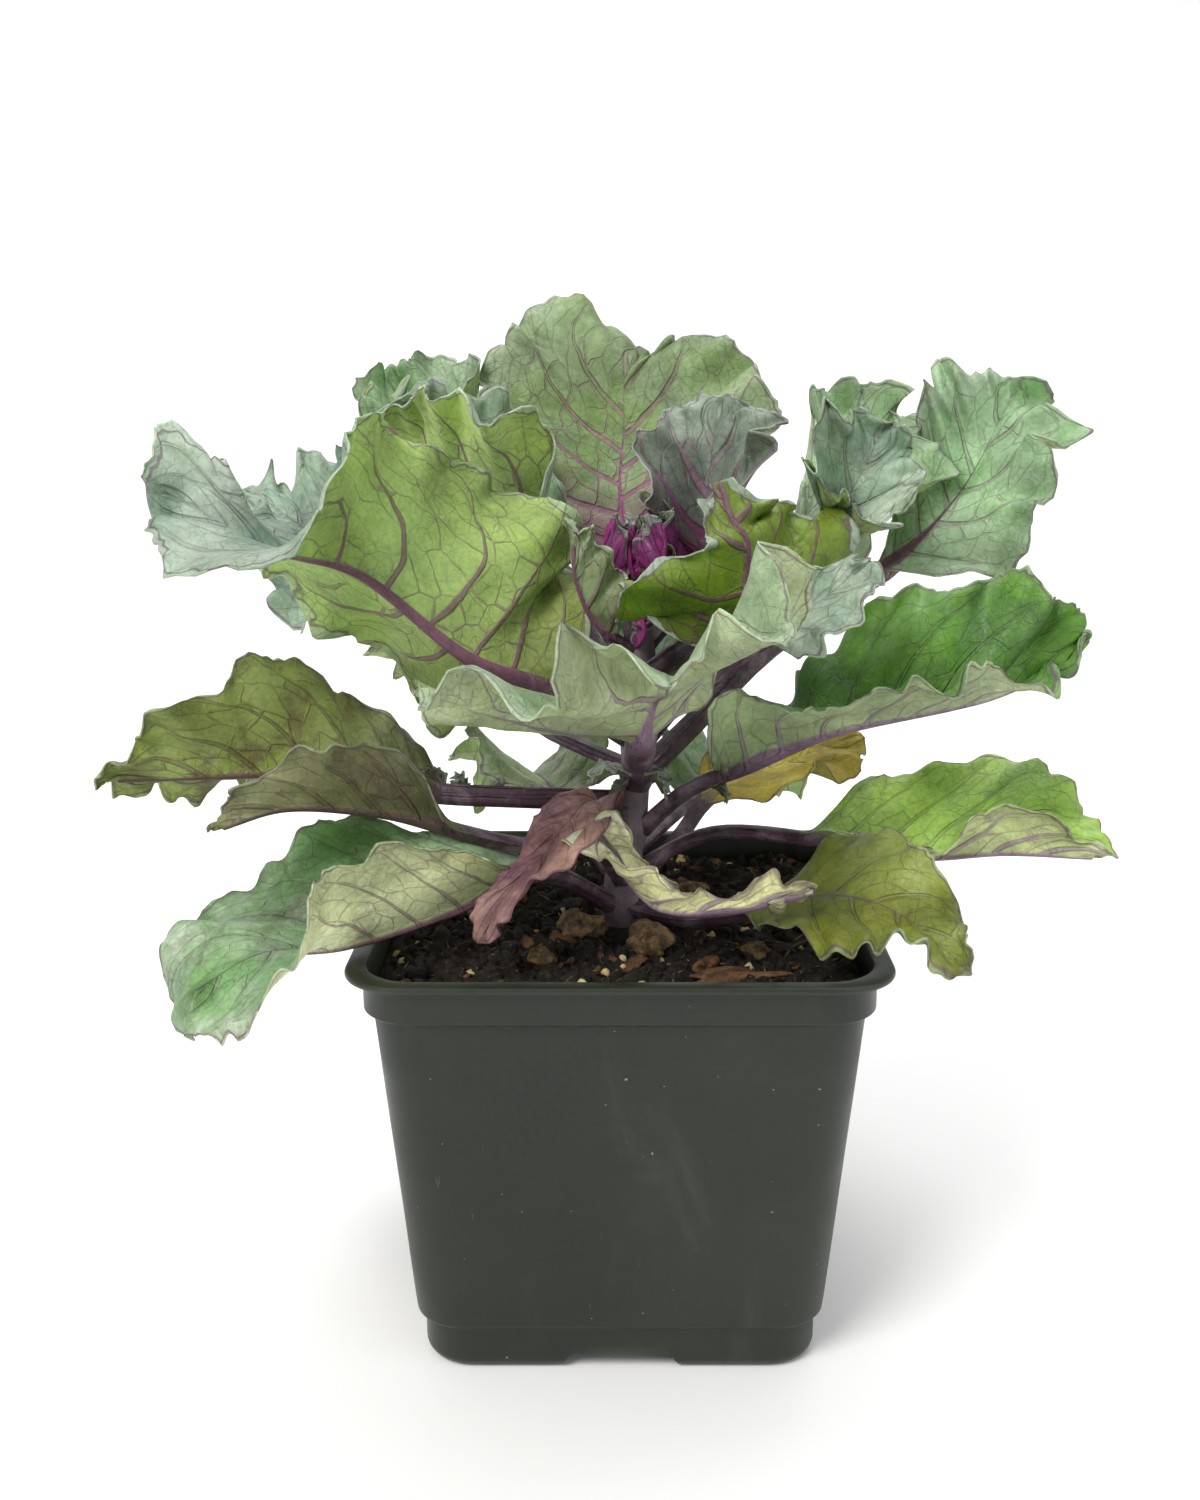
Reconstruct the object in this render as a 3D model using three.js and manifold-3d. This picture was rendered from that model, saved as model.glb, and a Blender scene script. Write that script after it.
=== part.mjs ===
// An ornamental kale plant in a square nursery pot.
// Millimetres, +Z up. The origin is the middle of the pot's foot, on the surface it stands on.
// The plant's fuller face looks along -Y.
import * as THREE from "three";
import Module from "manifold-3d";

// ---------------------------------------------------------------- driving dimensions

// Pot: a 4 1/2 inch square pot, measured over its lip.
const LIP_WIDTH = 114;
const POT_HEIGHT = 95;
const BAND_WIDTH = 107.4; // the upright band below the lip
const BAND_HEIGHT = 8.6;
const BODY_TOP_WIDTH = 103.6;
const BODY_FOOT_WIDTH = 91;
const FOOT_STEP = 1.7; // the foot ring stands in from the body by this much
const FOOT_HEIGHT = 11.5;
const FOOT_ROUND = 3; // the rounding between wall and floor
const LIP_THICK = 1.6;
const POT_WALL = 1.5;
const POT_FLOOR = 1.8;
const LIP_CORNER = 13;
const BAND_CORNER = 12;
const BODY_CORNER = 11;
const CORNER_STEPS = 5;
const POT_SLOPE = 1; // the height of the slope where two widths of the wall meet
const LIP_EDGE = 0.5; // the chamfer round the lip
const DRAIN_WIDTH = 28; // a drain slot in the middle of each side of the foot
const DRAIN_HEIGHT = 3.8;
const DRAIN_DEPTH = 9;
const DRAIN_SLOPE = 3; // the slot's ends lean out by this much

// Soil and stem.
const SEAT = 0.3; // the clearance between two pieces that touch
const SOIL_TOP = 89;
const SOIL_CLEAR = 0.5; // between the soil and the pot's wall
const SOIL_RELIEF = 1.1;
const SOIL_RINGS = 6;
const STEM_DEPTH = 14; // how far the stem stands in the soil
const STEM_BASE_RADIUS = 4.3;
const STEM_TOP_RADIUS = 2.4;
const STEM_TOP = 159;
const STEM_SIDES = 10;
const STEM_RINGS = 7;
const STEM_LEAN = 5; // the stem's upper end stands this far to +X
const LEAN_TOP = 141; // and is upright from this height on

// Leaves.
const BLADE = 0.9; // blade thickness
const RIB = 2.5; // stalk radius at the root; it runs out to RIB_TIP at the leaf's tip
const RIB_TIP = 0.5;
const STALK_RINGS = 3;
const BLADE_RINGS = 12;
const COLUMNS = [0.34, 0.68, 1]; // across each half, from the rib's edge to the margin
const OPENING = 0.15; // the blade opens out of its stalk over this share of its length

// ---------------------------------------------------------------- colours

const GREEN = 0x7d9a70;
const GLAUCOUS = 0x8aa393;
const OLIVE = 0x7d8745;
const PALE = 0xaab486;
const YELLOW = 0xc3b941;
const DRY = 0xa97873;
const HEART = 0x6e6a74;
const STALK = 0x55404b;
const POT_GREY = 0x3e423e;
const SOIL_BROWN = 0x1d1a18;

// ---------------------------------------------------------------- small maths

const radians = THREE.MathUtils.degToRad;
const ease = THREE.MathUtils.smoothstep;

// A fixed value in 0..1 for a seed and an index.
function scatter(seed, index) {
  const v = Math.sin(seed * 12.9898 + index * 78.233) * 43758.5453;
  return v - Math.floor(v);
}

// A smooth curve through evenly spaced values, read at x in 0..1.
function along(values, x) {
  const last = values.length - 1;
  const k = Math.min(Math.floor(x * last), last - 1);
  const before = k > 0 ? values[k - 1] : 2 * values[0] - values[1];
  const after = k + 2 <= last ? values[k + 2] : 2 * values[last] - values[last - 1];
  const u = x * last - k;
  const bend = 2 * before - 5 * values[k] + 4 * values[k + 1] - after;
  const twist = 3 * values[k] - before - 3 * values[k + 1] + after;
  return 0.5 * (2 * values[k] + (values[k + 1] - before) * u + bend * u * u + twist * u ** 3);
}

// ---------------------------------------------------------------- meshes

const object = new THREE.Group();
const wasm = await Module();
wasm.setup();

function addMesh(name, geometry, color, roughness) {
  const material = new THREE.MeshStandardMaterial({ color, roughness, metalness: 0 });
  const mesh = new THREE.Mesh(geometry, material);
  mesh.name = name;
  object.add(mesh);
}

function indexedGeometry(points, index) {
  const geometry = new THREE.BufferGeometry().setFromPoints(points);
  geometry.setIndex(index);
  geometry.computeVertexNormals();
  return geometry;
}

function toSolid(geometry) {
  const vertProperties = new Float32Array(geometry.getAttribute("position").array);
  const triVerts = new Uint32Array(geometry.index.array);
  return new wasm.Manifold(new wasm.Mesh({ numProp: 3, vertProperties, triVerts }));
}

function toGeometry(solid) {
  const mesh = solid.getMesh();
  const geometry = new THREE.BufferGeometry();
  geometry.setAttribute("position", new THREE.BufferAttribute(mesh.vertProperties, 3));
  geometry.setIndex(new THREE.BufferAttribute(mesh.triVerts, 1));
  geometry.computeVertexNormals();
  return geometry;
}

// A closed solid through rings of equally many points, which turn anticlockwise seen from the end
// that the rings run to. Both ends are closed by a fan round the middle of their ring.
function loft(rings) {
  const count = rings[0].length;
  const points = rings.flat();
  const index = [];
  for (let r = 0; r < rings.length - 1; r++) {
    for (let i = 0; i < count; i++) {
      const a = r * count + i;
      const b = r * count + ((i + 1) % count);
      index.push(a, b, b + count, a, b + count, a + count);
    }
  }
  const middle = (ring) => ring.reduce((sum, p) => sum.add(p), new THREE.Vector3()).divideScalar(count);
  const start = points.push(middle(rings[0])) - 1;
  const end = points.push(middle(rings.at(-1))) - 1;
  const lastRing = (rings.length - 1) * count;
  for (let i = 0; i < count; i++) {
    const next = (i + 1) % count;
    index.push(start, next, i, end, lastRing + i, lastRing + next);
  }
  return indexedGeometry(points, index);
}

// ---------------------------------------------------------------- pot

// A level square ring with round corners.
function squareRing(width, corner, z) {
  const ring = [];
  for (let quarter = 0; quarter < 4; quarter++) {
    for (let step = 0; step <= CORNER_STEPS; step++) {
      const angle = ((quarter + step / CORNER_STEPS) * Math.PI) / 2;
      const turn = (quarter * Math.PI) / 2 + Math.PI / 4;
      const reach = (width / 2 - corner) * Math.SQRT2;
      const x = reach * Math.cos(turn) + corner * Math.cos(angle);
      const y = reach * Math.sin(turn) + corner * Math.sin(angle);
      ring.push(new THREE.Vector3(x, y, z));
    }
  }
  return ring;
}

function potShell() {
  const bandTop = POT_HEIGHT - LIP_THICK;
  const bandFoot = bandTop - BAND_HEIGHT;
  const footWidth = BODY_FOOT_WIDTH - 2 * FOOT_STEP;
  const wall = 2 * POT_WALL;
  const rings = [];
  for (const angle of [0, 30, 60, 90]) {
    const out = FOOT_ROUND * (1 - Math.sin(radians(angle)));
    const up = FOOT_ROUND * (1 - Math.cos(radians(angle)));
    rings.push(squareRing(footWidth - 2 * out, BODY_CORNER - out, up));
  }
  rings.push(
    squareRing(footWidth, BODY_CORNER, FOOT_HEIGHT - FOOT_STEP),
    squareRing(BODY_FOOT_WIDTH, BODY_CORNER, FOOT_HEIGHT),
    squareRing(BODY_TOP_WIDTH, BODY_CORNER, bandFoot),
    squareRing(BAND_WIDTH, BAND_CORNER, bandFoot + POT_SLOPE),
    squareRing(BAND_WIDTH, BAND_CORNER, bandTop),
    squareRing(LIP_WIDTH - 2 * LIP_EDGE, LIP_CORNER, bandTop),
    squareRing(LIP_WIDTH, LIP_CORNER, bandTop + LIP_EDGE),
    squareRing(LIP_WIDTH, LIP_CORNER, POT_HEIGHT - LIP_EDGE),
    squareRing(LIP_WIDTH - 2 * LIP_EDGE, LIP_CORNER, POT_HEIGHT),
    squareRing(BAND_WIDTH, BAND_CORNER, POT_HEIGHT),
    squareRing(BAND_WIDTH - wall, BAND_CORNER - POT_WALL, bandTop),
    squareRing(BAND_WIDTH - wall, BAND_CORNER - POT_WALL, bandFoot + POT_SLOPE),
    squareRing(BODY_TOP_WIDTH - wall, BODY_CORNER - POT_WALL, bandFoot - POT_SLOPE),
    squareRing(footWidth - wall, BODY_CORNER - POT_WALL, FOOT_HEIGHT),
    squareRing(footWidth - wall, BODY_CORNER - POT_WALL, POT_FLOOR + FOOT_ROUND),
    squareRing(footWidth - wall - 2 * FOOT_ROUND, BODY_CORNER - POT_WALL - FOOT_ROUND, POT_FLOOR),
  );
  return loft(rings);
}

// A drain slot: a low opening with leaning ends, cut in from the middle of one side of the foot.
function drainSlot(side) {
  const half = DRAIN_WIDTH / 2;
  const upper = half - DRAIN_SLOPE;
  const outline = [[-half, -1], [half, -1], [upper, DRAIN_HEIGHT], [-upper, DRAIN_HEIGHT]];
  const ends = [-BODY_FOOT_WIDTH / 2 + DRAIN_DEPTH, -BODY_FOOT_WIDTH / 2 - 1];
  const slot = loft(ends.map((y) => outline.map(([x, z]) => new THREE.Vector3(x, y, z))));
  slot.rotateZ((side * Math.PI) / 2);
  return slot;
}

let potSolid = toSolid(potShell());
for (let side = 0; side < 4; side++) {
  potSolid = potSolid.subtract(toSolid(drainSlot(side)));
}
addMesh("pot", toGeometry(potSolid), POT_GREY, 0.5);

// ---------------------------------------------------------------- stem

function stemRadius(z) {
  return THREE.MathUtils.mapLinear(z, SOIL_TOP, STEM_TOP, STEM_BASE_RADIUS, STEM_TOP_RADIUS);
}

// The middle of the stem at a height.
function stemMiddle(z) {
  return new THREE.Vector3(STEM_LEAN * ease(z, SOIL_TOP, LEAN_TOP), 0, z);
}

// A ring round the stem's middle at a height.
function stemRing(z, radius) {
  const ring = [];
  for (let side = 0; side < STEM_SIDES; side++) {
    const angle = (side / STEM_SIDES) * 2 * Math.PI;
    const out = new THREE.Vector3(Math.cos(angle) * radius, Math.sin(angle) * radius, 0);
    ring.push(stemMiddle(z).add(out));
  }
  return ring;
}

function stemShape() {
  const rings = [];
  for (let step = 0; step <= STEM_RINGS; step++) {
    const z = THREE.MathUtils.lerp(SOIL_TOP - STEM_DEPTH, STEM_TOP, step / STEM_RINGS);
    rings.push(stemRing(z, Math.min(stemRadius(z), STEM_BASE_RADIUS)));
  }
  return loft(rings);
}

addMesh("stem", stemShape(), STALK, 0.6);

// ---------------------------------------------------------------- soil

// The soil's top is a lumpy surface; it stays level beside the pot's wall and the stem.
function soilHeight(x, y, calm) {
  const lumps = Math.sin(x * 0.31 + 1.7) * Math.cos(y * 0.27 + 0.4)
    + 0.6 * Math.sin(x * 0.62 - y * 0.48 + 2.1) + 0.5 * Math.cos(x * 0.83 + y * 0.91);
  return SOIL_TOP + SOIL_RELIEF * lumps * calm;
}

function soilShape() {
  const bandFoot = POT_HEIGHT - LIP_THICK - BAND_HEIGHT;
  const inside = 2 * (POT_WALL + SOIL_CLEAR);
  const corner = BODY_CORNER - POT_WALL - SOIL_CLEAR;
  const footWidth = BODY_FOOT_WIDTH - 2 * FOOT_STEP;
  const rings = [
    squareRing(footWidth - inside - 2 * FOOT_ROUND, corner - FOOT_ROUND, POT_FLOOR + SEAT),
    squareRing(footWidth - inside, corner, POT_FLOOR + FOOT_ROUND + SEAT),
    squareRing(footWidth - inside, corner, FOOT_HEIGHT + SEAT),
    squareRing(BODY_TOP_WIDTH - inside, corner, bandFoot - POT_SLOPE),
    squareRing(BAND_WIDTH - inside, corner, bandFoot + 2 * POT_SLOPE),
  ];
  const edge = squareRing(BAND_WIDTH - inside, corner, SOIL_TOP);
  const holeRadius = STEM_BASE_RADIUS + SEAT;
  const hole = edge.map((p, i) => {
    const angle = ((i + 0.5) / edge.length) * 2 * Math.PI;
    return new THREE.Vector3(holeRadius * Math.cos(angle), holeRadius * Math.sin(angle), SOIL_TOP);
  });
  for (let step = 0; step <= SOIL_RINGS; step++) {
    const calm = step === 0 || step === SOIL_RINGS ? 0 : 1;
    rings.push(edge.map((p, i) => {
      const at = p.clone().lerp(hole[i], step / SOIL_RINGS);
      return at.setZ(soilHeight(at.x, at.y, calm));
    }));
  }
  rings.push(hole.map((p) => p.clone().setZ(SOIL_TOP - STEM_DEPTH - SEAT)));
  return loft(rings);
}

addMesh("soil", soilShape(), SOIL_BROWN, 0.95);

// ---------------------------------------------------------------- leaves

// A leaf is a stalk and a blade along one line.
// Its lists run from the blade's foot to its tip; width, fold, curl and rise have one for the left
// half and one for the right, seen from above and looking to the tip.
//   line    points from the stem to near the leaf's tip; the first gives only the root's height
//   stalk   the bare share of the line
//   width   how wide each half is, one number or a list
//   fold    how far each half is lifted from level, in degrees
//   curl    how far each half bends up towards its margin, in degrees
//   roll    the whole blade's turn round its midrib
//   rise    how far the margin of each half stands above that
//   ruffle  height of the waves on the margin, waves how many, seed which ones
//   fan     the angle of the side veins at the blade's foot and at its tip
//   swell   above 1 moves the widest place towards the tip
const LEVEL = [0, 0, 0];
const LEAF_DEFAULTS = {
  curl: [LEVEL, LEVEL], roll: LEVEL, rise: [LEVEL, LEVEL], fan: [12, 80], swell: 1, rib: RIB, ruffle: 3,
  waves: 4, stalkRings: STALK_RINGS, rings: BLADE_RINGS,
};

const LEAVES = {
  leaf_left_low: {
    line: [[-3, -5, 95], [-18, -17, 107], [-37, -28, 101], [-58, -38, 97], [-73, -49, 99], [-84, -59, 95]],
    stalk: 0.24, width: [[27, 31, 31, 28], [33, 33, 30, 31]],
    fold: [[82, 69, 56, 6, -35], [53, 46, 30, 12, -3]], curl: [[7, 10, 1, 0], [1, -13, -31, -35]],
    roll: [18, 10, 5, -5], ruffle: 2.4, waves: 3.2, seed: 3, swell: 1.3, fan: [7, 48],
    rise: [[1, -1, -2, 4, -1, -3, 0, -2], [0, -2, 1, 1, -1, -1, 0, -7]], color: GREEN,
  },
  leaf_left_inner: {
    line: [[-4, -8, 108], [-21, -15, 113], [-38, -22, 119], [-54, -29, 124],
      [-69, -38, 127], [-81, -42, 124]],
    stalk: 0.42, width: [[23, 21, 14, 11], 13], fold: [[65, 67, 62, 69, 80], [15, 15, 15, 15, 15]],
    curl: [[0, 8, 22, 48], LEVEL], ruffle: 2, waves: 2.5, seed: 5, rings: 10, roll: [2, 2, 0, -15],
    fan: [35, 58], rise: [[-1, -1, 2, 0, -2, 0, 3, 2], LEVEL], color: OLIVE,
  },
  leaf_left_mid: {
    line: [[-5, -5, 119], [-24, -9, 122], [-44, -12, 124], [-64, -16, 129],
      [-85, -22, 130], [-107, -26, 130]],
    stalk: 0.38, width: [[21, 24, 22, 18], 14], fold: [[66, 53, 30, 21, 12], [42, 41, 38, 33, 24]],
    roll: [-65, -59, -54, -53], ruffle: 3.6, seed: 8, curl: [[34, 13, 0, -9], LEVEL], fan: [3, 74],
    rise: [[-2, 3, 2, 0, -1, 1, 2, -2], LEVEL], color: OLIVE,
  },
  leaf_left_front: {
    line: [[-3, -5, 133], [-14, -11, 146], [-32, -24, 156], [-53, -29, 174],
      [-68, -50, 182], [-84, -53, 192]],
    stalk: 0.2, width: [[57, 44, 27, 24], [29, 25, 20, 27]],
    fold: [[37, 52, 54, 20, -35], [40, 37, 37, 51, 65]], curl: [[-8, 6, 16, -23], [-27, -22, -3, 40]],
    roll: [-75, -53, -19, 62], fan: [-35, 65], ruffle: 4, waves: 4.2, seed: 11,
    rise: [[-2, 4, -2, 2, 4, -2, -5, -4], [0, 0, 0, -1, -2, -1, -9, 2]], color: GLAUCOUS,
  },
  leaf_front_mid: {
    line: [[1, -6, 124], [5, -23, 139], [7, -34, 149], [9, -42, 152], [9, -50, 156]],
    stalk: 0.36, width: [[23, 34, 40, 46], [57, 60, 61, 59]],
    fold: [[56, 24, 26, 15, -14], [6, -16, -22, -19, -24]], fan: [10, 83], ruffle: 6, waves: 3.2, seed: 2,
    curl: [[-34, -22, 8, 16], [14, 18, 26, 16]], roll: [0, -6, -7, 6],
    rise: [[2, 9, 5, 5, 4, 1, -3, -5], [4, 5, 1, 0, -1, 0, -3, -7]], color: PALE,
  },
  leaf_cup_front: {
    line: [[6, -3, 144], [19, -11, 155], [26, -18, 165], [26, -22, 171], [26, -25, 180],
      [23, -23, 185], [21, -17, 192]],
    stalk: 0.36, width: [[41, 35, 23, 10], [33, 32, 30, 20, 7, 6, 8]],
    fold: [[-5, 6, 23, 17, 9], [2, 14, 5, 20, 46]], fan: [-11, 27],
    curl: [[7, 16, 20, 18], [26, 32, 30, 30]], ruffle: 1.5, seed: 6, roll: [0, 8, 9, 18],
    rise: [[0, -1, -1, 1, 1, -1, -1, 1], [-2, 0, 4, 0, 0, 0, 0, 0]], color: OLIVE,
  },
  leaf_right_mid: {
    line: [[5, -2, 113], [16, -2, 123], [31, -7, 130], [49, -12, 138], [80, -13, 145], [101, -7, 153]],
    stalk: 0.22, width: [[14, 25, 30, 34], [37, 19, 12, 7]],
    fold: [[10, 24, 48, 59, 64], [87, 65, 58, 52, 40]], curl: [[-18, -7, -2, -9], [17, 0, -7, -15]],
    ruffle: 3.6, waves: 4.5, seed: 4, roll: [3, -16, -21, -26], fan: [-14, 76],
    rise: [[0, -2, -2, 0, 1, 1, 0, -5], [0, -1, -3, -3, 3, 1, -2, 4]], color: GREEN,
  },
  leaf_right_lower: {
    line: [[6, 0, 103], [22, 6, 110], [47, 7, 108], [69, 4, 104], [89, -3, 107], [108, -7, 107]],
    stalk: 0.38, width: [[30, 31, 30, 23], [10, 10, 14, 11]],
    fold: [[54, 47, 41, 34, 26], [29, 38, 52, 72, 84]], curl: [[9, 0, -12, -26], [4, 3, 15, 22]],
    ruffle: 2.2, waves: 3.5, seed: 9, roll: [8, -3, -2, -6], fan: [13, 69],
    rise: [[-3, -1, -1, 0, 0, -1, -1, -1], [0, 3, -2, -3, 2, 4, 1, -1]], color: GREEN,
  },
  leaf_right_low: {
    line: [[2, -3, 94], [16, -13, 95], [33, -21, 100], [47, -30, 105], [58, -38, 104], [68, -49, 98]],
    stalk: 0.38, width: [[24, 21, 14, 15], [18, 16, 16, 17]],
    fold: [[22, 26, 34, 28, 12], [-10, -13, -10, 2, 6]], curl: [[1, 9, 6, -16], [-20, -11, 2, 10]],
    ruffle: 2.8, waves: 3.2, seed: 12, roll: [-2, -4, -3, 4], fan: [5, 44],
    rise: [[1, -1, -2, 0, 0, 0, 0, -2], [0, 0, 0, 1, -3, 3, -1, 1]], color: OLIVE,
  },
  leaf_front_low: {
    line: [[0, -7, 100], [-6, -29, 120], [-1, -32, 115], [8, -39, 106], [23, -39, 105], [40, -39, 109]],
    stalk: 0.34, width: [[11, 4, 3, 3], [14, 10, 4, 5]], fold: [[31, 33, 46, 56, 64], [-3, 35, 66, 87, 93]],
    curl: [[18, 10, 3, -3], [6, 20, 31, 28]], rib: 2, ruffle: 2, seed: 13, rings: 10,
    roll: [-34, -10, 10, 21], fan: [-7, 46], rise: [[-3, 2, 2, 0, 0, 0, 0, 0], [0, 0, 1, 0, 1, 0, -3, 2]],
    color: PALE,
  },
  leaf_pink_dry: {
    line: [[-1, -8, 113], [-6, -15, 122], [-11, -24, 120], [-17, -33, 114],
      [-23, -39, 109], [-27, -41, 102]],
    stalk: 0.12, width: [[11, 13, 11, 10], [7, 7, 7, 15]],
    fold: [[16, 15, 14, 12, 13], [15, 14, 12, 12, 12]], curl: [[7, 11, 16, 18], [14, 12, 4, -8]], rib: 1.5,
    ruffle: 1.2, seed: 14, rings: 8, roll: [4, 3, -1, -2], fan: [25, 67],
    rise: [[0, 1, 0, -1, 1, -1, -1, 0], [1, 0, 0, 0, -1, -1, 2, -1]], color: DRY,
  },
  leaf_right_back: {
    line: [[6, 4, 125], [18, 17, 134], [34, 24, 149], [52, 30, 161], [69, 28, 173],
      [83, 29, 189], [93, 31, 209]],
    stalk: 0.62, width: [[24, 16, 28, 25], [26, 23, 22, 20]],
    fold: [[13, 18, 21, 14, -2], [-3, 8, 25, 19, 9]], curl: [[-2, -6, -5, -8], [-25, -20, -7, -4]],
    roll: [-30, -38, -32, -27], ruffle: 4.5, waves: 4.2, seed: 15, fan: [20, 54],
    rise: [[0, 0, 0, -1, 2, 0, -1, -1], [5, 0, 0, 1, 1, -7, -3, 4]], color: GLAUCOUS,
  },
  leaf_right_inner: {
    line: [[8, 2, 148], [28, 6, 163], [45, 12, 174], [52, 5, 189], [59, 6, 203]],
    stalk: 0.42, width: [[30, 25, 19, 10], [39, 19, 17, 8]],
    fold: [[53, 51, 37, 25, 23], [42, 30, 13, 9, 13]], curl: [[51, 38, 22, 25], [6, 9, -6, -10]],
    roll: [-42, -61, -66, -62], ruffle: 4, seed: 16, fan: [52, 36],
    rise: [[-1, 0, 1, 0, -1, 1, 1, 4], [6, 7, 4, 2, -1, -1, 0, 1]], color: GLAUCOUS,
  },
  leaf_right_lobe: {
    line: [[7, -3, 136], [27, -13, 155], [42, -20, 167], [50, -23, 174]],
    stalk: 0.6, width: [8, 13], fold: [[20, 20, 20], [10, 20, 10]], curl: [[10, 20, 20], [-10, -20, -20]],
    roll: [-50, -50, -50], rib: 1.8, ruffle: 1.8, waves: 3, seed: 26, rings: 8, color: GLAUCOUS,
  },
  leaf_right_rear: {
    line: [[7, 8, 134], [30, 21, 157], [52, 33, 179], [69, 51, 202]],
    stalk: 0.45, width: [[29, 32, 31, 30], [32, 32, 17, 18]],
    fold: [[17, 20, 21, 28, 52], [13, 19, 26, 29, 51]], roll: [-14, -16, -16, -23], ruffle: 4, seed: 27,
    curl: [[3, 4, 3, 12], [-2, 9, 19, 49]], fan: [52, 37],
    rise: [[0, 0, 1, 1, -1, -3, -1, 8], [0, 0, -1, -1, 2, -1, -7, 5]], color: GREEN,
  },
  leaf_back_top: {
    line: [[5, 6, 148], [2, 18, 168], [0, 36, 187], [1, 49, 201], [1, 56, 213], [4, 62, 219]],
    stalk: 0.36, width: [[40, 40, 41, 44], [42, 41, 35, 27]],
    fold: [[18, 18, 12, 8, -9], [18, 20, 18, 2, -13]], curl: [[13, 8, -8, -31], [9, 6, -3, -23]], ruffle: 4,
    waves: 3.8, seed: 17, roll: [14, 1, -1, -5], fan: [5, 77],
    rise: [[0, 0, 0, -1, -2, 1, -1, -4], [0, 0, 0, 1, 1, -1, -2, -1]], color: GREEN,
  },
  leaf_heart_back: {
    line: [[7, 6, 155], [19, 14, 168], [20, 16, 181], [21, 18, 193], [23, 22, 207]],
    stalk: 0.2, width: [[30, 26, 20, 18], [36, 28, 22, 14]],
    fold: [[44, 42, 36, 18, -6], [50, 36, 29, 14, 11]], curl: [[44, 46, 25, 1], [50, 31, 3, -7]], rib: 1.8,
    ruffle: 2.6, seed: 18, rings: 10, roll: [-1, -16, -8, 13], fan: [25, 49],
    rise: [[0, 0, 3, 2, 0, -1, -2, -4], [0, 0, -1, 1, -2, -4, 0, -1]], color: HEART,
  },
  leaf_heart_left: {
    line: [[0, -3, 154], [-5, -7, 161], [-9, -10, 170], [-10, -11, 178]],
    stalk: 0.25, width: [11, 11], fold: [[30, 35, 30], [30, 35, 30]], curl: [[18, 30, 30], [10, 30, 30]],
    rib: 1.5, ruffle: 2.2, waves: 3.5, seed: 29, rings: 8, color: GLAUCOUS,
  },
  leaf_left_upper: {
    line: [[2, 2, 147], [-6, 4, 165], [-18, 15, 175], [-38, 16, 188], [-53, 14, 201]],
    stalk: 0.42, width: [[44, 36, 28, 16], [26, 32, 30, 16]],
    fold: [[47, 44, 34, 30, 25], [57, 50, 40, 28, 22]], curl: [[-20, -10, 3, 22], [40, 38, 16, -3]],
    roll: [-31, -20, -11, -2], ruffle: 4, seed: 19, fan: [17, 57],
    rise: [[-1, 5, -1, -3, 2, 1, 1, 2], [0, 0, 0, -1, 0, 0, 3, 2]], color: GREEN,
  },
  leaf_back_left: {
    line: [[4, 6, 139], [-14, 24, 161], [-33, 41, 180], [-46, 56, 198], [-59, 68, 210]],
    stalk: 0.4, width: [[23, 23, 26, 18], [28, 28, 26, 26]],
    fold: [[24, 29, 32, 27, 21], [38, 46, 41, 23, 18]], roll: [31, 33, 21, 17], ruffle: 4, seed: 20,
    curl: [[3, 5, 3, -1], [11, 21, 19, 17]], fan: [37, 63],
    rise: [[0, 0, 0, 0, 1, -2, 2, 1], [0, 1, 2, 3, 0, -2, -1, 1]], color: GREEN,
  },
  leaf_left_back: {
    line: [[3, 4, 133], [-24, 17, 151], [-54, 30, 165], [-79, 44, 177], [-95, 56, 186]],
    stalk: 0.46, width: [[33, 26, 15, 14], [33, 28, 24, 21]],
    fold: [[17, 12, 3, -2, -6], [46, 41, 21, 0, -21]], roll: [50, 45, 29, 8], ruffle: 4, seed: 21,
    curl: [[-11, -18, -24, -19], [27, 14, -11, -23]], fan: [28, 62],
    rise: [[0, 0, -1, -3, -2, 0, -2, -2], [0, 0, 1, -1, 0, 3, 2, 0]], color: GLAUCOUS,
  },
  leaf_left_behind: {
    line: [[-1, 4, 127], [-14, 16, 131], [-30, 30, 136], [-46, 44, 141], [-57, 52, 144]],
    stalk: 0.3, width: [21, 23], fold: [[20, 20, 20, 0], [10, 0, -10, -10]], roll: [-10, -20, -10],
    ruffle: 3, waves: 3.5, seed: 22, rings: 9, color: PALE,
  },
  leaf_yellow: {
    line: [[5, 3, 97], [14, 12, 106], [23, 22, 114], [43, 36, 119], [59, 44, 123]],
    stalk: 0.4, width: [16, 15], fold: [[10, 10, 10, 10], [30, 30, 20, 10]], roll: [-20, -30, -30],
    rib: 1.8, ruffle: 2.2, waves: 3, seed: 23, rings: 9, color: YELLOW,
  },
  leaf_back_mid: {
    line: [[2, 6, 117], [6, 26, 130], [10, 46, 142], [13, 62, 148], [15, 78, 149]],
    stalk: 0.4, width: [27, 27], fold: [[30, 30, 20, 10], [30, 30, 20, 10]], ruffle: 3.6, seed: 24,
    rings: 9, color: GREEN,
  },
  leaf_back_low: {
    line: [[-2, 5, 100], [-12, 26, 107], [-20, 48, 111], [-25, 66, 108], [-28, 80, 100]],
    stalk: 0.4, width: [24, 23], fold: [[25, 30, 20, 0], [25, 30, 20, 0]], ruffle: 3, waves: 3.6, seed: 25,
    rings: 9, color: OLIVE,
  },
  leaf_right_rear_low: {
    line: [[4, 6, 106], [14, 28, 109], [25, 50, 111], [34, 66, 108], [41, 80, 101]],
    stalk: 0.42, width: [23, 24], fold: [[25, 30, 20, 0], [25, 30, 20, 0]], ruffle: 3, waves: 3.6, seed: 28,
    rings: 9, color: GREEN,
  },
};

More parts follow.
